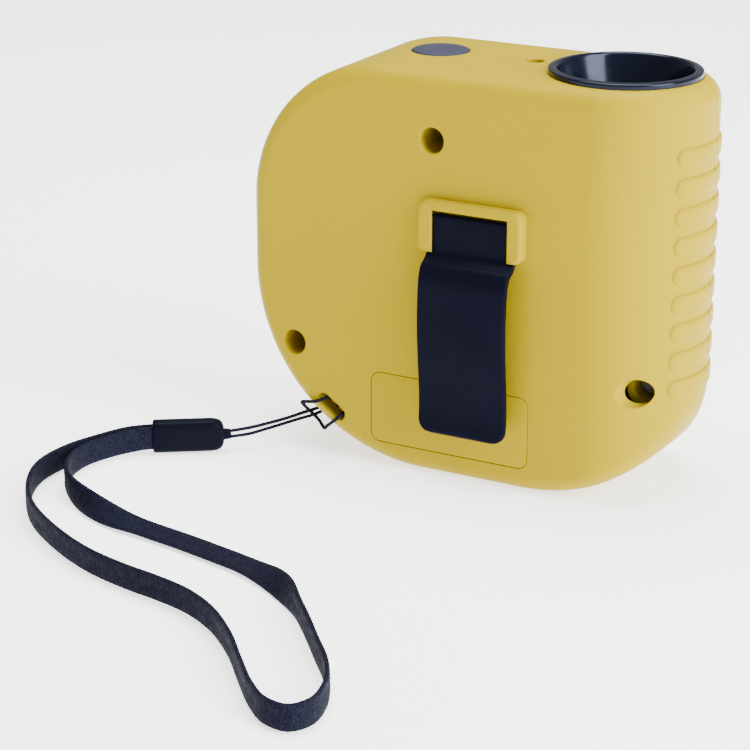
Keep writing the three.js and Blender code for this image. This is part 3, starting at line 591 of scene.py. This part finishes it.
def outline_distance(x, z):
    """How far a point lies outside the case's outline, seen from the back; negative inside."""
    half_width = (OUTLINE_RIGHT - CASE_LEFT) / 2
    half_height = CASE_TOP / 2
    dx = x - (CASE_LEFT + half_width)
    dz = z - half_height
    left = np.where(dz < 0, LOW_LEFT_RADIUS, TOP_LEFT_RADIUS)
    right = np.where(dz < 0, LOW_RIGHT_RADIUS, 0)
    radius = np.where(dx < 0, left, right)
    u = np.abs(dx) - half_width + radius
    v = np.abs(dz) - half_height + radius
    return np.hypot(np.maximum(u, 0), np.maximum(v, 0)) + np.minimum(np.maximum(u, v), 0) - radius


def case_distance(x, y, z):
    """How far a point lies outside the case, whose edge rounding grows from the back to the front."""
    blend = smoothstep(12, 32, y)
    radius = BACK_EDGE_RADIUS + (FRONT_EDGE_RADIUS - BACK_EDGE_RADIUS) * blend
    a = outline_distance(x, z) + radius
    b = np.hypot(np.maximum(x - END_X, 0), y - MID_Y) - MID_Y + radius
    return np.hypot(np.maximum(a, 0), np.maximum(b, 0)) + np.minimum(np.maximum(a, b), 0) - radius


def case_ring(y, inset):
    """How far each ray in the plane at y runs before the case surface, moved in by inset."""
    near = np.zeros_like(ANGLES)
    far = np.full_like(ANGLES, 130)
    for _ in range(44):
        middle = (near + far) / 2
        outside = case_distance(middle * np.cos(ANGLES), y, RAY_Z + middle * np.sin(ANGLES)) + inset > 1e-6
        far = np.where(outside, middle, far)
        near = np.where(outside, near, middle)
    return near


def ring_angles():
    """Even steps round the case, closer where the round end meets the top and the base."""
    coarse, fine = 1.5, 0.4
    stretches = [(-180, -60, coarse), (-60, -26, fine), (-26, 38, coarse), (38, 60, fine), (60, 180, coarse)]
    angles = [np.arange(low, high - 1e-6, step) for low, high, step in stretches]
    return np.radians(np.concatenate(angles))


ANGLES = ring_angles()


def strap_point(inset, y, shift):
    """A point at the strap corner: inset from the side outline, depth y, and shift along it."""
    reach = LOW_LEFT_RADIUS - inset
    return (
        CASE_LEFT + LOW_LEFT_RADIUS + reach * cos(STRAP_ANGLE) - shift * sin(STRAP_ANGLE),
        y,
        LOW_LEFT_RADIUS + reach * sin(STRAP_ANGLE) + shift * cos(STRAP_ANGLE),
    )


def thick_corner(y):
    """How much thicker the rear wall is round the strap slots, for each ring angle."""
    x, _, z = strap_point(STRAP_DEPTH - 1, 0, 0)
    corner = np.arctan2(z - RAY_Z, x)
    away = np.degrees(np.abs((ANGLES - corner + pi) % (2 * pi) - pi))
    return 8 * (1 - smoothstep(8.5, 12, away)) * (1 - smoothstep(9.6, 10.6, y))


def ring_points(y, reach):
    return np.stack([reach * np.cos(ANGLES), np.full_like(ANGLES, y), RAY_Z + reach * np.sin(ANGLES)], -1)


def shell_rings(face_y, seam_y, planes):
    """Rings over the outside from a face to the seam, round the lip, and back along the inside."""
    inward = 1 if seam_y > face_y else -1
    rings = []
    for y in planes:
        rings.append(ring_points(y, case_ring(y, 0)))
    lip = [(seam_y - inward * LIP, 0), (seam_y - inward * LIP * 0.3, LIP * 0.3), (seam_y, LIP)]
    for y, inset in lip + [(seam_y, WALL)]:
        rings.append(ring_points(y, case_ring(y, inset)))
    face_in = face_y + inward * WALL
    steps = 12
    for k in range(1, steps + 1):
        y = seam_y + (face_in - seam_y) * sin(k / steps * pi / 2)
        reach = case_ring(y, WALL)
        if inward > 0:
            reach = reach - thick_corner(y)
        rings.append(ring_points(y, reach))
    return rings


def face_planes(face_y, seam_y, count=26):
    """Planes from a face to the seam, closer together towards the face."""
    direction = 1 if seam_y > face_y else -1
    planes = [face_y + direction * MID_Y * (1 - cos(i / count * pi / 2)) for i in range(count + 1)]
    limit = seam_y - direction * (LIP + 0.3)
    return [y for y in planes if (limit - y) * direction > 0]


def mouth_cutter(x, y, z, radius, flare, depth, axis, outwards):
    """A round cutter whose mouth is rounded over where it meets a flat face."""
    steps = 6
    profile = [(radius, -outwards * depth)]
    for i in range(steps + 1):
        t = i / steps * pi / 2
        profile.append((radius + flare * (1 - cos(t)), -outwards * flare * (1 - sin(t))))
    profile.append((radius + flare, outwards * 2))
    return lathe(profile, x, y, z, axis, 72, closed=False)


def top_cutters():
    """The horn, button and laser openings, which cross the seam."""
    inside, above = 90, 110
    return [
        cylinder(HORN_NECK_RADIUS + 0.3, inside, above, END_X, MID_Y, 96),
        cylinder(HORN_RIM_RADIUS + 0.08, HORN_RECESS_Z, above, END_X, MID_Y, 144),
        mouth_cutter(BUTTON_X, SEAM_Y, CASE_TOP, BUTTON_RADIUS + 0.18, 0.3, 6, "Z", 1),
        mouth_cutter(LASER_X, SEAM_Y, CASE_TOP, LASER_HOLE_RADIUS - 0.25, 0.35, 6, "Z", 1),
    ]


def strap_cutters():
    """The two strap slots: one in from the back face, one in from the side."""
    along = Vector((-sin(STRAP_ANGLE), 0, cos(STRAP_ANGLE)))
    outward = Vector((cos(STRAP_ANGLE), 0, sin(STRAP_ANGLE)))
    middle = Vector(strap_point(STRAP_DEPTH, 0, 0))
    back = []
    for grow, y in ((0, 7.2), (0, 0.45), (0.05, 0.22), (0.16, 0.07), (0.35, 0), (0.35, -2)):
        length = STRAP_SLOT_LENGTH + grow * 2
        width = STRAP_SLOT_WIDTH + grow * 2
        outline = stadium(length, width, STRAP_SLOT_WIDTH / 2 + grow - 0.02)
        back.append([tuple(middle + along * a + outward * b + Vector((0, y, 0))) for a, b in outline])
    side = []
    centre = middle + Vector((0, STRAP_SIDE_Y, 0))
    outline = stadium(STRAP_SLOT_LENGTH - 1, STRAP_SIDE_WIDTH, STRAP_SIDE_WIDTH / 2 - 0.02)
    for reach in (-0.4, STRAP_DEPTH + 8):
        side.append([tuple(centre + along * a + outward * reach + Vector((0, b, 0))) for a, b in outline])
    return [skin(back), skin(side)]


def screw_posts():
    """Blind tubes behind the three counterbores."""
    posts = []
    end = SEAM_Y - 0.3
    for x, z in CASE_SCREWS:
        start = BACK_INSIDE
        # The wall of the round end curves away from the back, so the post there starts deeper.
        if x > END_X:
            start = MID_Y - sqrt((MID_Y - 1.4) ** 2 - (x + 3 - END_X) ** 2)
        profile = [
            (COUNTERBORE_RADIUS, start), (COUNTERBORE_RADIUS, COUNTERBORE_DEPTH),
            (SCREW_HOLE_RADIUS, COUNTERBORE_DEPTH), (SCREW_HOLE_RADIUS, end),
            (POST_RADIUS, end), (POST_RADIUS, start),
        ]
        posts.append(lathe(profile, x, 0, z, "Y", 48))
    return posts


def join_shapes(item, shapes):
    """Adds closed shapes to a piece's mesh as bodies of their own."""
    extra = plain_object("extra", merged(shapes))
    work = bmesh.new()
    work.from_mesh(item.data)
    work.from_mesh(extra.data)
    work.to_mesh(item.data)
    work.free()
    bpy.data.objects.remove(extra)


def bay_walls():
    """The battery bay's side walls and the blocks that hold the hinge pin."""
    shapes = []
    half = BAY_WALL_THICKNESS / 2
    for x in BAY_WALL_CENTRES:
        shapes.append(box_shape(x - half, x + half, BACK_INSIDE, BAY_FRONT, BAY_BOTTOM, BAY_TOP))
    left, right = (HINGE_X + reach for reach in HINGE_BLOCK)
    shapes.append(box_shape(left, right, BACK_INSIDE, DOOR_BACK - DOOR_GAP, 1.9, HINGE_BLOCK_TOP))
    shapes.append(box_shape(left, right, DOOR_FRONT + DOOR_GAP, SEAM_Y - 0.4, 1.2, HINGE_BLOCK_TOP))
    return shapes


def make_rear_case():
    rings = shell_rings(0, SEAM_Y - SEAM_GAP, face_planes(0, SEAM_Y))
    item = plain_object("rear_case", skin(rings))
    label = stadium(LABEL_WIDTH + LABEL_GAP * 2, LABEL_HEIGHT + LABEL_GAP * 2, LABEL_RADIUS + LABEL_GAP)
    bores = []
    for x, z in CASE_SCREWS:
        if x > END_X:
            bores.append(lathe(FLARED_BORE, x, 0, z, "Y", 72, closed=False))
        else:
            bores.append(mouth_cutter(x, 0, z, COUNTERBORE_RADIUS, 0.35, 3, "Y", -1))
    door = box_shape(
        DOOR_LEFT - DOOR_GAP, HINGE_X + 2, DOOR_BACK - DOOR_GAP, DOOR_FRONT + DOOR_GAP, -2, DOOR_DEPTH,
    )
    recess = soft_plate(label, LABEL_X, LABEL_Z, -1, 1.1, 0.05)
    cut_out(item, bores + [door, recess] + strap_cutters() + top_cutters())
    join_shapes(item, screw_posts() + bay_walls())
    finish_piece(item, YELLOW, "case", ["rear_shell"])
    weighted_normals(item)


def weighted_normals(item):
    """Keeps the big flat faces flat to the eye where they meet rounded edges."""
    modifier = item.modifiers.new("normals", "WEIGHTED_NORMAL")
    modifier.keep_sharp = True


def key_places():
    return [(x, z) for z in KEY_ROWS for x in KEY_COLUMNS]


def make_front_case():
    rings = shell_rings(CASE_DEPTH, SEAM_Y + SEAM_GAP, face_planes(CASE_DEPTH, SEAM_Y))
    item = plain_object("front_case", skin(rings))
    seat = stadium(WINDOW_WIDTH + WINDOW_GAP * 2, WINDOW_HEIGHT + WINDOW_GAP * 2, WINDOW_RADIUS + WINDOW_GAP)
    sight = stadium(WINDOW_WIDTH - 4, WINDOW_HEIGHT - 4, 1.5)
    key_hole = stadium(KEY_WIDTH + 0.5, KEY_HEIGHT + 0.5, KEY_RADIUS + 0.2)
    outside = CASE_DEPTH + 1
    cutters = [
        soft_plate(seat, DISPLAY_X, DISPLAY_Z, outside, CASE_DEPTH - 1.6, 0.05),
        soft_plate(sight, DISPLAY_X, DISPLAY_Z, outside, INSIDE_Y, 0.05),
    ]
    for x, z in key_places():
        cutters.append(soft_plate(key_hole, x, z, outside, INSIDE_Y, 0.05))
    cut_out(item, cutters + top_cutters())
    finish_piece(item, YELLOW, "case", ["front_shell"])
    weighted_normals(item)


# ---------------------------------------------------------------- grip pads


def pad_shape(z):
    """One raised stadium wrapped round the half cylinder, with soft shoulders."""
    half_arc = -asin((PAD_BACK_Y - MID_Y) / MID_Y) * MID_Y
    outline = split_long_sides(stadium(half_arc * 2, PAD_HEIGHT, PAD_HEIGHT / 2 - 0.02, 14), 0.8)
    rings = []
    for inset, rise in PAD_SHOULDER:
        radius = MID_Y + rise
        ring = []
        for arc, up in inset_outline(outline, inset):
            angle = arc / MID_Y
            ring.append((END_X + radius * cos(angle), MID_Y + radius * sin(angle), z + up))
        rings.append(ring)
    points, faces = skin(rings)
    top = faces.pop()
    faces.pop()
    ordered = sorted(range(len(outline)), key=lambda i: (round(outline[i][0], 4), outline[i][1]))
    upper = [i for i in ordered if outline[i][1] > 0]
    lower = [i for i in ordered if outline[i][1] <= 0]
    faces.extend(strip_between(upper, lower, top[0]))
    faces.extend(tuple(reversed(face)) for face in strip_between(upper, lower, 0))
    return points, faces


def split_long_sides(outline, step):
    """The outline with points added along its long straight sides, so that it can be bent."""
    points = []
    for i, corner in enumerate(outline):
        a, b = Vector(corner), Vector(outline[(i + 1) % len(outline)])
        pieces = max(1, int((b - a).length / step))
        points.extend(tuple(a.lerp(b, k / pieces)) for k in range(pieces))
    return points


def strip_between(upper, lower, start):
    """Quads across a ring, from its upper points to its lower ones."""
    faces = []
    for i in range(min(len(upper), len(lower)) - 1):
        faces.append((start + lower[i], start + lower[i + 1], start + upper[i + 1], start + upper[i]))
    return faces


def make_grip_pads():
    """The row of pads as two pieces, split where it crosses the seam."""
    shapes = [pad_shape(PAD_TOP_Z - i * PAD_PITCH) for i in range(PAD_COUNT)]
    for name, side in (("grip_pads_rear", -1), ("grip_pads_front", 1)):
        item = plain_object(name, merged(shapes))
        work = bmesh.new()
        work.from_mesh(item.data)
        cut = bmesh.ops.bisect_plane(
            work, geom=work.verts[:] + work.edges[:] + work.faces[:],
            plane_co=metres((0, SEAM_Y + side * PAD_SEAM_GAP, 0)), plane_no=(0, -side, 0), clear_outer=True,
        )
        edges = [part for part in cut["geom_cut"] if isinstance(part, bmesh.types.BMEdge)]
        bmesh.ops.holes_fill(work, edges=edges)
        work.to_mesh(item.data)
        work.free()
        finish_piece(item, YELLOW, sharp=60)


# ---------------------------------------------------------------- back face


def bracket_opening():
    """The gap between the bracket's legs, with a softened front edge."""
    face, flare, low = -BRACKET_RISE, 0.5, 50
    rings = []
    for grow, y in ((0, 1), (0, face + flare), (0.1, face + 0.21), (flare, face), (flare, face - 2)):
        left = CLIP_X - BRACKET_OPENING_HALF - grow
        right = CLIP_X + BRACKET_OPENING_HALF + grow
        top = BRACKET_TOP - BRACKET_BAR + grow
        rings.append([(left, y, low), (right, y, low), (right, y, top), (left, y, top)])
    return skin(rings)


def make_clip_bracket():
    """A flat U over the clip, open downwards: an outer rim with a thin plate in front of the clip."""
    height = BRACKET_TOP - BRACKET_BOTTOM
    outline = stadium(BRACKET_HALF * 2, height, BRACKET_CORNER)
    middle = (BRACKET_TOP + BRACKET_BOTTOM) / 2
    plate = soft_plate(outline, CLIP_X, middle, 0.4, -BRACKET_RISE, BRACKET_EDGE, 6)
    item = plain_object("clip_bracket", plate)
    half = CLIP_WIDTH / 2 + CLIP_GAP
    under = BRACKET_TOP - BRACKET_BAR
    channel = box_shape(
        CLIP_X - half, CLIP_X + half, BRACKET_PLATE - BRACKET_RISE, 1, BRACKET_BOTTOM - 1, under,
    )
    cut_out(item, [channel, bracket_opening()])
    finish_piece(item, YELLOW)
    weighted_normals(item)


def spline(points, count):
    """A smooth centripetal curve through points, resampled at even steps."""
    points = np.array(points, float)
    ends = (2 * points[0] - points[1], 2 * points[-1] - points[-2])
    padded = np.vstack([ends[0], points, ends[1]])
    samples = []
    for i in range(1, len(padded) - 2):
        p0, p1, p2, p3 = padded[i - 1:i + 3]
        d0, d1, d2 = (sqrt(np.linalg.norm(b - a)) for a, b in ((p0, p1), (p1, p2), (p2, p3)))
        m1 = ((p1 - p0) / d0 - (p2 - p0) / (d0 + d1) + (p2 - p1) / d1) * d1
        m2 = ((p2 - p1) / d1 - (p3 - p1) / (d1 + d2) + (p3 - p2) / d2) * d1
        for t in np.arange(0, 1, 0.02):
            t2, t3 = t * t, t * t * t
            samples.append(
                (2 * t3 - 3 * t2 + 1) * p1 + (t3 - 2 * t2 + t) * m1 + (3 * t2 - 2 * t3) * p2 + (t3 - t2) * m2
            )
    samples.append(points[-1])
    samples = np.array(samples)
    lengths = np.concatenate([[0], np.cumsum(np.linalg.norm(np.diff(samples, axis=0), axis=1))])
    even = np.linspace(0, lengths[-1], count)
    resampled = [np.interp(even, lengths, samples[:, k]) for k in range(samples.shape[1])]
    return np.stack(resampled, -1), lengths[-1]


def directions(points):
    """The unit direction of a line at each of its points."""
    tangents = np.gradient(points, axis=0)
    return tangents / np.linalg.norm(tangents, axis=1)[:, None]


def make_belt_clip():
    """A strip of even thickness with rounded edges, folded once and sprung in at the tip."""
    line, length = spline(CLIP_LINE, 150)
    rings = []
    for i, (middle, along) in enumerate(zip(line, directions(line))):
        from_tip = length * (1 - i / (len(line) - 1))
        from_end = min(length - from_tip, from_tip)
        half = CLIP_WIDTH / 2
        if from_end < CLIP_CORNER:
            half -= CLIP_CORNER - sqrt(CLIP_CORNER ** 2 - (CLIP_CORNER - from_end) ** 2)
        thickness = CLIP_THICKNESS
        if from_end < CLIP_EDGE:
            thickness *= sqrt(max(0.05, 1 - (1 - from_end / CLIP_EDGE) ** 2))
        across = np.array([along[1], -along[0]])
        section = stadium(half * 2, thickness, min(CLIP_EDGE, thickness / 2 - 0.01), 5)
        ring = []
        for a, b in section:
            y, z = middle + across * b
            ring.append((CLIP_X + a, y, z))
        rings.append(ring)
    points, faces = skin(rings)
    make_piece("belt_clip_strip", points, faces, CLIP_BLACK, "clip_black", "belt_clip", ["belt_clip"], 60)


def make_label_plate():
    outline = stadium(LABEL_WIDTH, LABEL_HEIGHT, LABEL_RADIUS, 10)
    points, faces = soft_plate(outline, LABEL_X, LABEL_Z, 0.95, 0, 0.22, 4)
    make_piece("blank_plate", points, faces, YELLOW, "yellow_shell", "case", ["label_plate"])


# ---------------------------------------------------------------- top face


def make_horn():
    points, faces = lathe(rounded_profile(HORN_SECTION, 5), END_X, MID_Y, 0, "Z", 144)
    make_piece("sound_horn", points, faces, HORN_BLACK, "horn_black", "case", ["horn"])


def make_read_button():
    points, faces = lathe(rounded_profile(BUTTON_SECTION, 6), BUTTON_X, SEAM_Y, 0, "Z", 96, closed=False)
    make_piece("thumb_button", points, faces, BUTTON_GREY, "button_grey", "read_button", ["read_button"])


# ---------------------------------------------------------------- display face


def make_display():
    """The window pane, and the dark border that shows through its edge."""
    outline = stadium(WINDOW_WIDTH, WINDOW_HEIGHT, WINDOW_RADIUS, 10)
    points, faces = soft_plate(outline, DISPLAY_X, DISPLAY_Z, CASE_DEPTH - 1.3, CASE_DEPTH - 0.1, 0.3)
    make_piece("window_pane", points, faces, WINDOW, "window_clear", "case", ["display_window"])
    border = plain_object(
        "window_border", soft_plate(outline, DISPLAY_X, DISPLAY_Z, CASE_DEPTH - 1.6, CASE_DEPTH - 1.35, 0.05),
    )
    inner = stadium(WINDOW_WIDTH - 6, WINDOW_HEIGHT - 6, 1.2, 8)
    cut_out(border, [soft_plate(inner, DISPLAY_X, DISPLAY_Z, INSIDE_Y, CASE_DEPTH + 1, 0.05)])
    finish_piece(border, PART_BLACK)


def make_keys():
    """Six keys with domed tops, each with the flange that keeps it in the case."""
    outline = stadium(KEY_WIDTH, KEY_HEIGHT, KEY_RADIUS)
    top = CASE_DEPTH + KEY_RISE
    layers = [(0, INSIDE_Y)] + [(inset, top - drop) for inset, drop in KEY_DOME]
    for i, (x, z) in enumerate(key_places()):
        rings = []
        for inset, y in layers:
            rings.append([(x + a, y, z + b) for a, b in inset_outline(outline, inset)])
        cap = skin(rings)
        flange = soft_plate(stadium(KEY_WIDTH + 1.4, KEY_HEIGHT + 1.6, 1.2), x, z, 37.6, 40.4, 0.2)
        points, faces = merged([cap, flange])
        name = f"key_{i + 1}"
        make_piece(f"{name}_cap", points, faces, BUTTON_GREY, "button_grey", name, [name])


# ---------------------------------------------------------------- wrist strap

RIBBON_ROUTE = [
    (-72.4, -19.6, 4.4), (-77.4, -23.1, 4), (-81.6, -30.2, 3.6), (-84.7, -39.5, 3.4), (-84.6, -50.4, 3.4),
    (-80.1, -61, 3.4), (-71.4, -71.6, 3.4), (-58.3, -80.9, 3.4), (-44.3, -87.7, 3.4), (-32.3, -91, 3.4),
    (-22.7, -92.7, 3.4), (-13.5, -95.2, 3.4), (-4.6, -100, 3.4), (4.6, -107.9, 3.4), (12.9, -117.1, 3.4),
    (20.5, -125.2, 3.4), (26.2, -129.4, 3.4), (31.6, -129.9, 3.4), (34.1, -125.7, 3.4),
    (32.9, -118, 3.4), (28.6, -109.9, 3.4), (21, -100.9, 3.4), (12.5, -91.1, 3.4), (3.6, -81.6, 3),
    (-5.2, -74.6, 2.2), (-13.8, -70.3, 1.5), (-23.5, -67.8, 1.4), (-34.3, -65.5, 1.4),
    (-44.9, -63.8, 1.5), (-54.7, -62.5, 2), (-63.1, -60.2, 2.8), (-70.5, -56.5, 3.4),
    (-76.6, -50.7, 3.4), (-80.4, -43.5, 3.4), (-80.9, -36, 3.5), (-78.2, -28.7, 3.8),
    (-74.2, -23.3, 4.2), (-71.5, -21.1, 4.4),
]

CORD_ROUTE = [
    (-56.2, -9.3, 5.1), (-53.2, -5.4, 5.2), (-50.2, -1.3, 5.6), (-46.4, 1.9, 6.7), (-43.6, 3.8, 7.8),
    (-41.1, 5, 8.8), strap_point(-1.4, 5.6, -3.6), strap_point(0.4, 5.8, -3.1),
    strap_point(2.8, 5.7, -2.9), strap_point(4.6, 5.1, -2.7), strap_point(5.6, 3, -2.4),
    strap_point(6, 0.8, -2.3), strap_point(5.5, -0.7, -2.6), strap_point(3.4, -0.9, -3.9),
    strap_point(1.2, 0, -5.6), strap_point(-0.9, 1.3, -6.9), strap_point(-1.8, 2.3, -5.8),
    strap_point(-2.3, 3, -3.4), strap_point(-2.5, 3.1, -1.2), strap_point(-2.8, 2.8, 0.5),
    strap_point(-2.5, 2.2, 1.4), strap_point(-0.8, 1.3, 1.8), strap_point(1, 0.5, 2.3),
    strap_point(2.8, -0.4, 2.8), strap_point(4.6, -0.7, 3.2), strap_point(5.3, 0.8, 3.2),
    strap_point(5.2, 3, 2.9), strap_point(4.6, 5.1, 1.6), strap_point(2.8, 5.7, 0),
    strap_point(0.4, 5.8, -1.6), strap_point(-2.2, 5.4, -2.7), (-41.7, 4.9, 7.1),
    (-44, 3.8, 6.3), (-46.8, 1.9, 5.3), (-50.4, -1.5, 4.2), (-53.2, -5.8, 3.7), (-56, -9.9, 3.8),
]


def ribbon_lean(fraction):
    """How far the ribbon leans over: upright at both ends, flat in between."""
    return 1.45 * smoothstep(0.64, 0.73, fraction) * (1 - smoothstep(0.81, 0.9, fraction))


def cord_path(points):
    """Every fourth point of a route and its last one, in metres."""
    return [metres(point) for point in points[::4]] + [metres(points[-1])]


def make_ribbon():
    """Flat braided tape: chevron ribs on both faces, and round selvedges."""
    count = 760
    points, length = spline(RIBBON_ROUTE, count)
    rings = []
    section = ribbon_section()
    for i, (middle, along) in enumerate(zip(points, directions(points))):
        fraction = i / (count - 1)
        travel = fraction * length
        lean = Matrix.Rotation(float(ribbon_lean(fraction)), 3, Vector(along))
        up = lean @ Vector((0, 0, 1))
        side = lean @ Vector((along[1], -along[0], 0)).normalized()
        ring = []
        for a, b in section:
            chevron = sin(2 * pi * (travel / RIB_PITCH + abs(a) / RIB_SLANT))
            lift = RIB_HEIGHT * chevron * (1 if abs(b) > 0.3 else 0.6)
            reach = Vector((a, b)).normalized() * lift
            ring.append(tuple(Vector(middle) + up * (a + reach.x * 0.4) + side * (b + reach.y)))
        rings.append(ring)
    shape = skin(rings)
    item = make_piece("wrist_ribbon", *shape, WEBBING, "strap_fabric", "case", ["strap_ribbon"], 180)
    return item, cord_path(points), length


def ribbon_section():
    """The tape's section: thinner than the CAD solid by its ribs, with a groove down the middle."""
    half_width = RIBBON_WIDTH / 2 - 0.05
    half_thickness = RIBBON_THICKNESS / 2 - RIB_HEIGHT
    section = []
    for i in range(32):
        angle = 2 * pi * i / 32
        a = half_width * np.sign(cos(angle)) * abs(cos(angle)) ** 0.55
        b = half_thickness * np.sign(sin(angle)) * abs(sin(angle)) ** 0.45
        b *= 1 - 0.18 * np.exp(-(a / 0.35) ** 2)
        section.append((float(a), float(b)))
    return section


def make_thin_cord():
    """Round braided cord, hitched through the two strap slots."""
    count = 560
    points, length = spline(CORD_ROUTE, count)
    normal = Vector((0, 0, 1))
    rings = []
    sides = 14
    for i, (middle, along) in enumerate(zip(points, directions(points))):
        along = Vector(along)
        normal = (normal - along * normal.dot(along)).normalized()
        side = along.cross(normal)
        twist = i / (count - 1) * length * BRAID_TWIST
        ring = []
        for k in range(sides):
            angle = 2 * pi * k / sides
            braid = sin(angle * 2 + twist) * sin(angle * 2 - twist)
            radius = CORD_DIAMETER / 2 * (0.96 + 0.07 * braid)
            ring.append(tuple(Vector(middle) + (normal * cos(angle) + side * sin(angle)) * radius))
        rings.append(ring)
    item = make_piece("hitch_cord", *skin(rings), WEBBING, "strap_fabric", "case", ["strap_cord"], 180)
    return item, cord_path(points), length


def slider_frame(along, up, across):
    """A point of the slider: along its length from the tail, up from its lower edge, and across."""
    side = Vector((SLIDER_DIRECTION.y, -SLIDER_DIRECTION.x, 0))
    base = Vector((*SLIDER_TAIL, SLIDER_LIFT))
    return tuple(base + SLIDER_DIRECTION * along + Vector((0, 0, up)) + side * across)


def make_slider():
    """Moulded grip over the joint of tape and cord: a flat block, rounded at the cord end."""
    body = []
    for along, tall, thick in SLIDER_PROFILE:
        height = SLIDER_WIDTH * tall
        width = SLIDER_THICKNESS * thick
        outline = stadium(height, width, min(1.7, width / 2 - 0.05), 7)
        body.append([slider_frame(along, SLIDER_WIDTH / 2 + a, b) for a, b in outline])
    stub = []
    for along, radius in STUB_PROFILE:
        outline = stadium(radius * 2, radius * 1.5, radius * 0.7, 6)
        stub.append([slider_frame(along, SLIDER_WIDTH / 2 + a, b) for a, b in outline])
    points, faces = merged([skin(body), skin(stub)])
    return make_piece(
        "strap_grip", points, faces, SLIDER_BLACK, "slider_black", "case", ["strap_slider"], 50,
    )


slider = make_slider()
thin_cord, thin_path, thin_length = make_thin_cord()
ribbon, ribbon_path, ribbon_length = make_ribbon()

make_rear_case()
make_front_case()
make_grip_pads()
make_clip_bracket()
make_belt_clip()
make_label_plate()
make_horn()
make_read_button()
make_display()
make_keys()

# ---------------------------------------------------------------- floor and light

FLOOR_REACH = 4
WORLD_STRENGTH = 0.42
LIGHT_TARGET = Vector((0, 0, 0.05))


def make_floor():
    corners = [(x * FLOOR_REACH, y * FLOOR_REACH, 0) for x, y in ((-1, -1), (1, -1), (1, 1), (-1, 1))]
    mesh = bpy.data.meshes.new("floor")
    mesh.from_pydata(corners, [], [(0, 1, 2, 3)])
    item = bpy.data.objects.new("floor", mesh)
    bpy.context.scene.collection.objects.link(item)
    shader = Shader("floor_paper", (0.98, 0.98, 0.98), 0.9)
    shader.socket("Emission Color", (1, 1, 1, 1)).socket("Emission Strength", 1.6)
    item.data.materials.append(shader.material)


def make_light(name, place, size, power):
    """A soft rectangular light that faces the middle of the case."""
    light = bpy.data.lights.new(name, "AREA")
    light.shape = "RECTANGLE"
    light.size, light.size_y = size
    light.energy = power
    item = bpy.data.objects.new(name, light)
    bpy.context.scene.collection.objects.link(item)
    item.location = place
    item.rotation_euler = (LIGHT_TARGET - Vector(place)).to_track_quat("-Z", "Y").to_euler()


def make_world():
    world = bpy.data.worlds.new("studio")
    world.use_nodes = True
    background = world.node_tree.nodes["Background"]
    background.inputs["Color"].default_value = (1, 1, 1, 1)
    background.inputs["Strength"].default_value = WORLD_STRENGTH
    bpy.context.scene.world = world


make_floor()
make_world()
make_light("side_box", (0.9, -0.15, 0.5), (0.6, 0.8), 28)
make_light("top_box", (-0.1, 0.1, 1.0), (0.7, 0.7), 22)
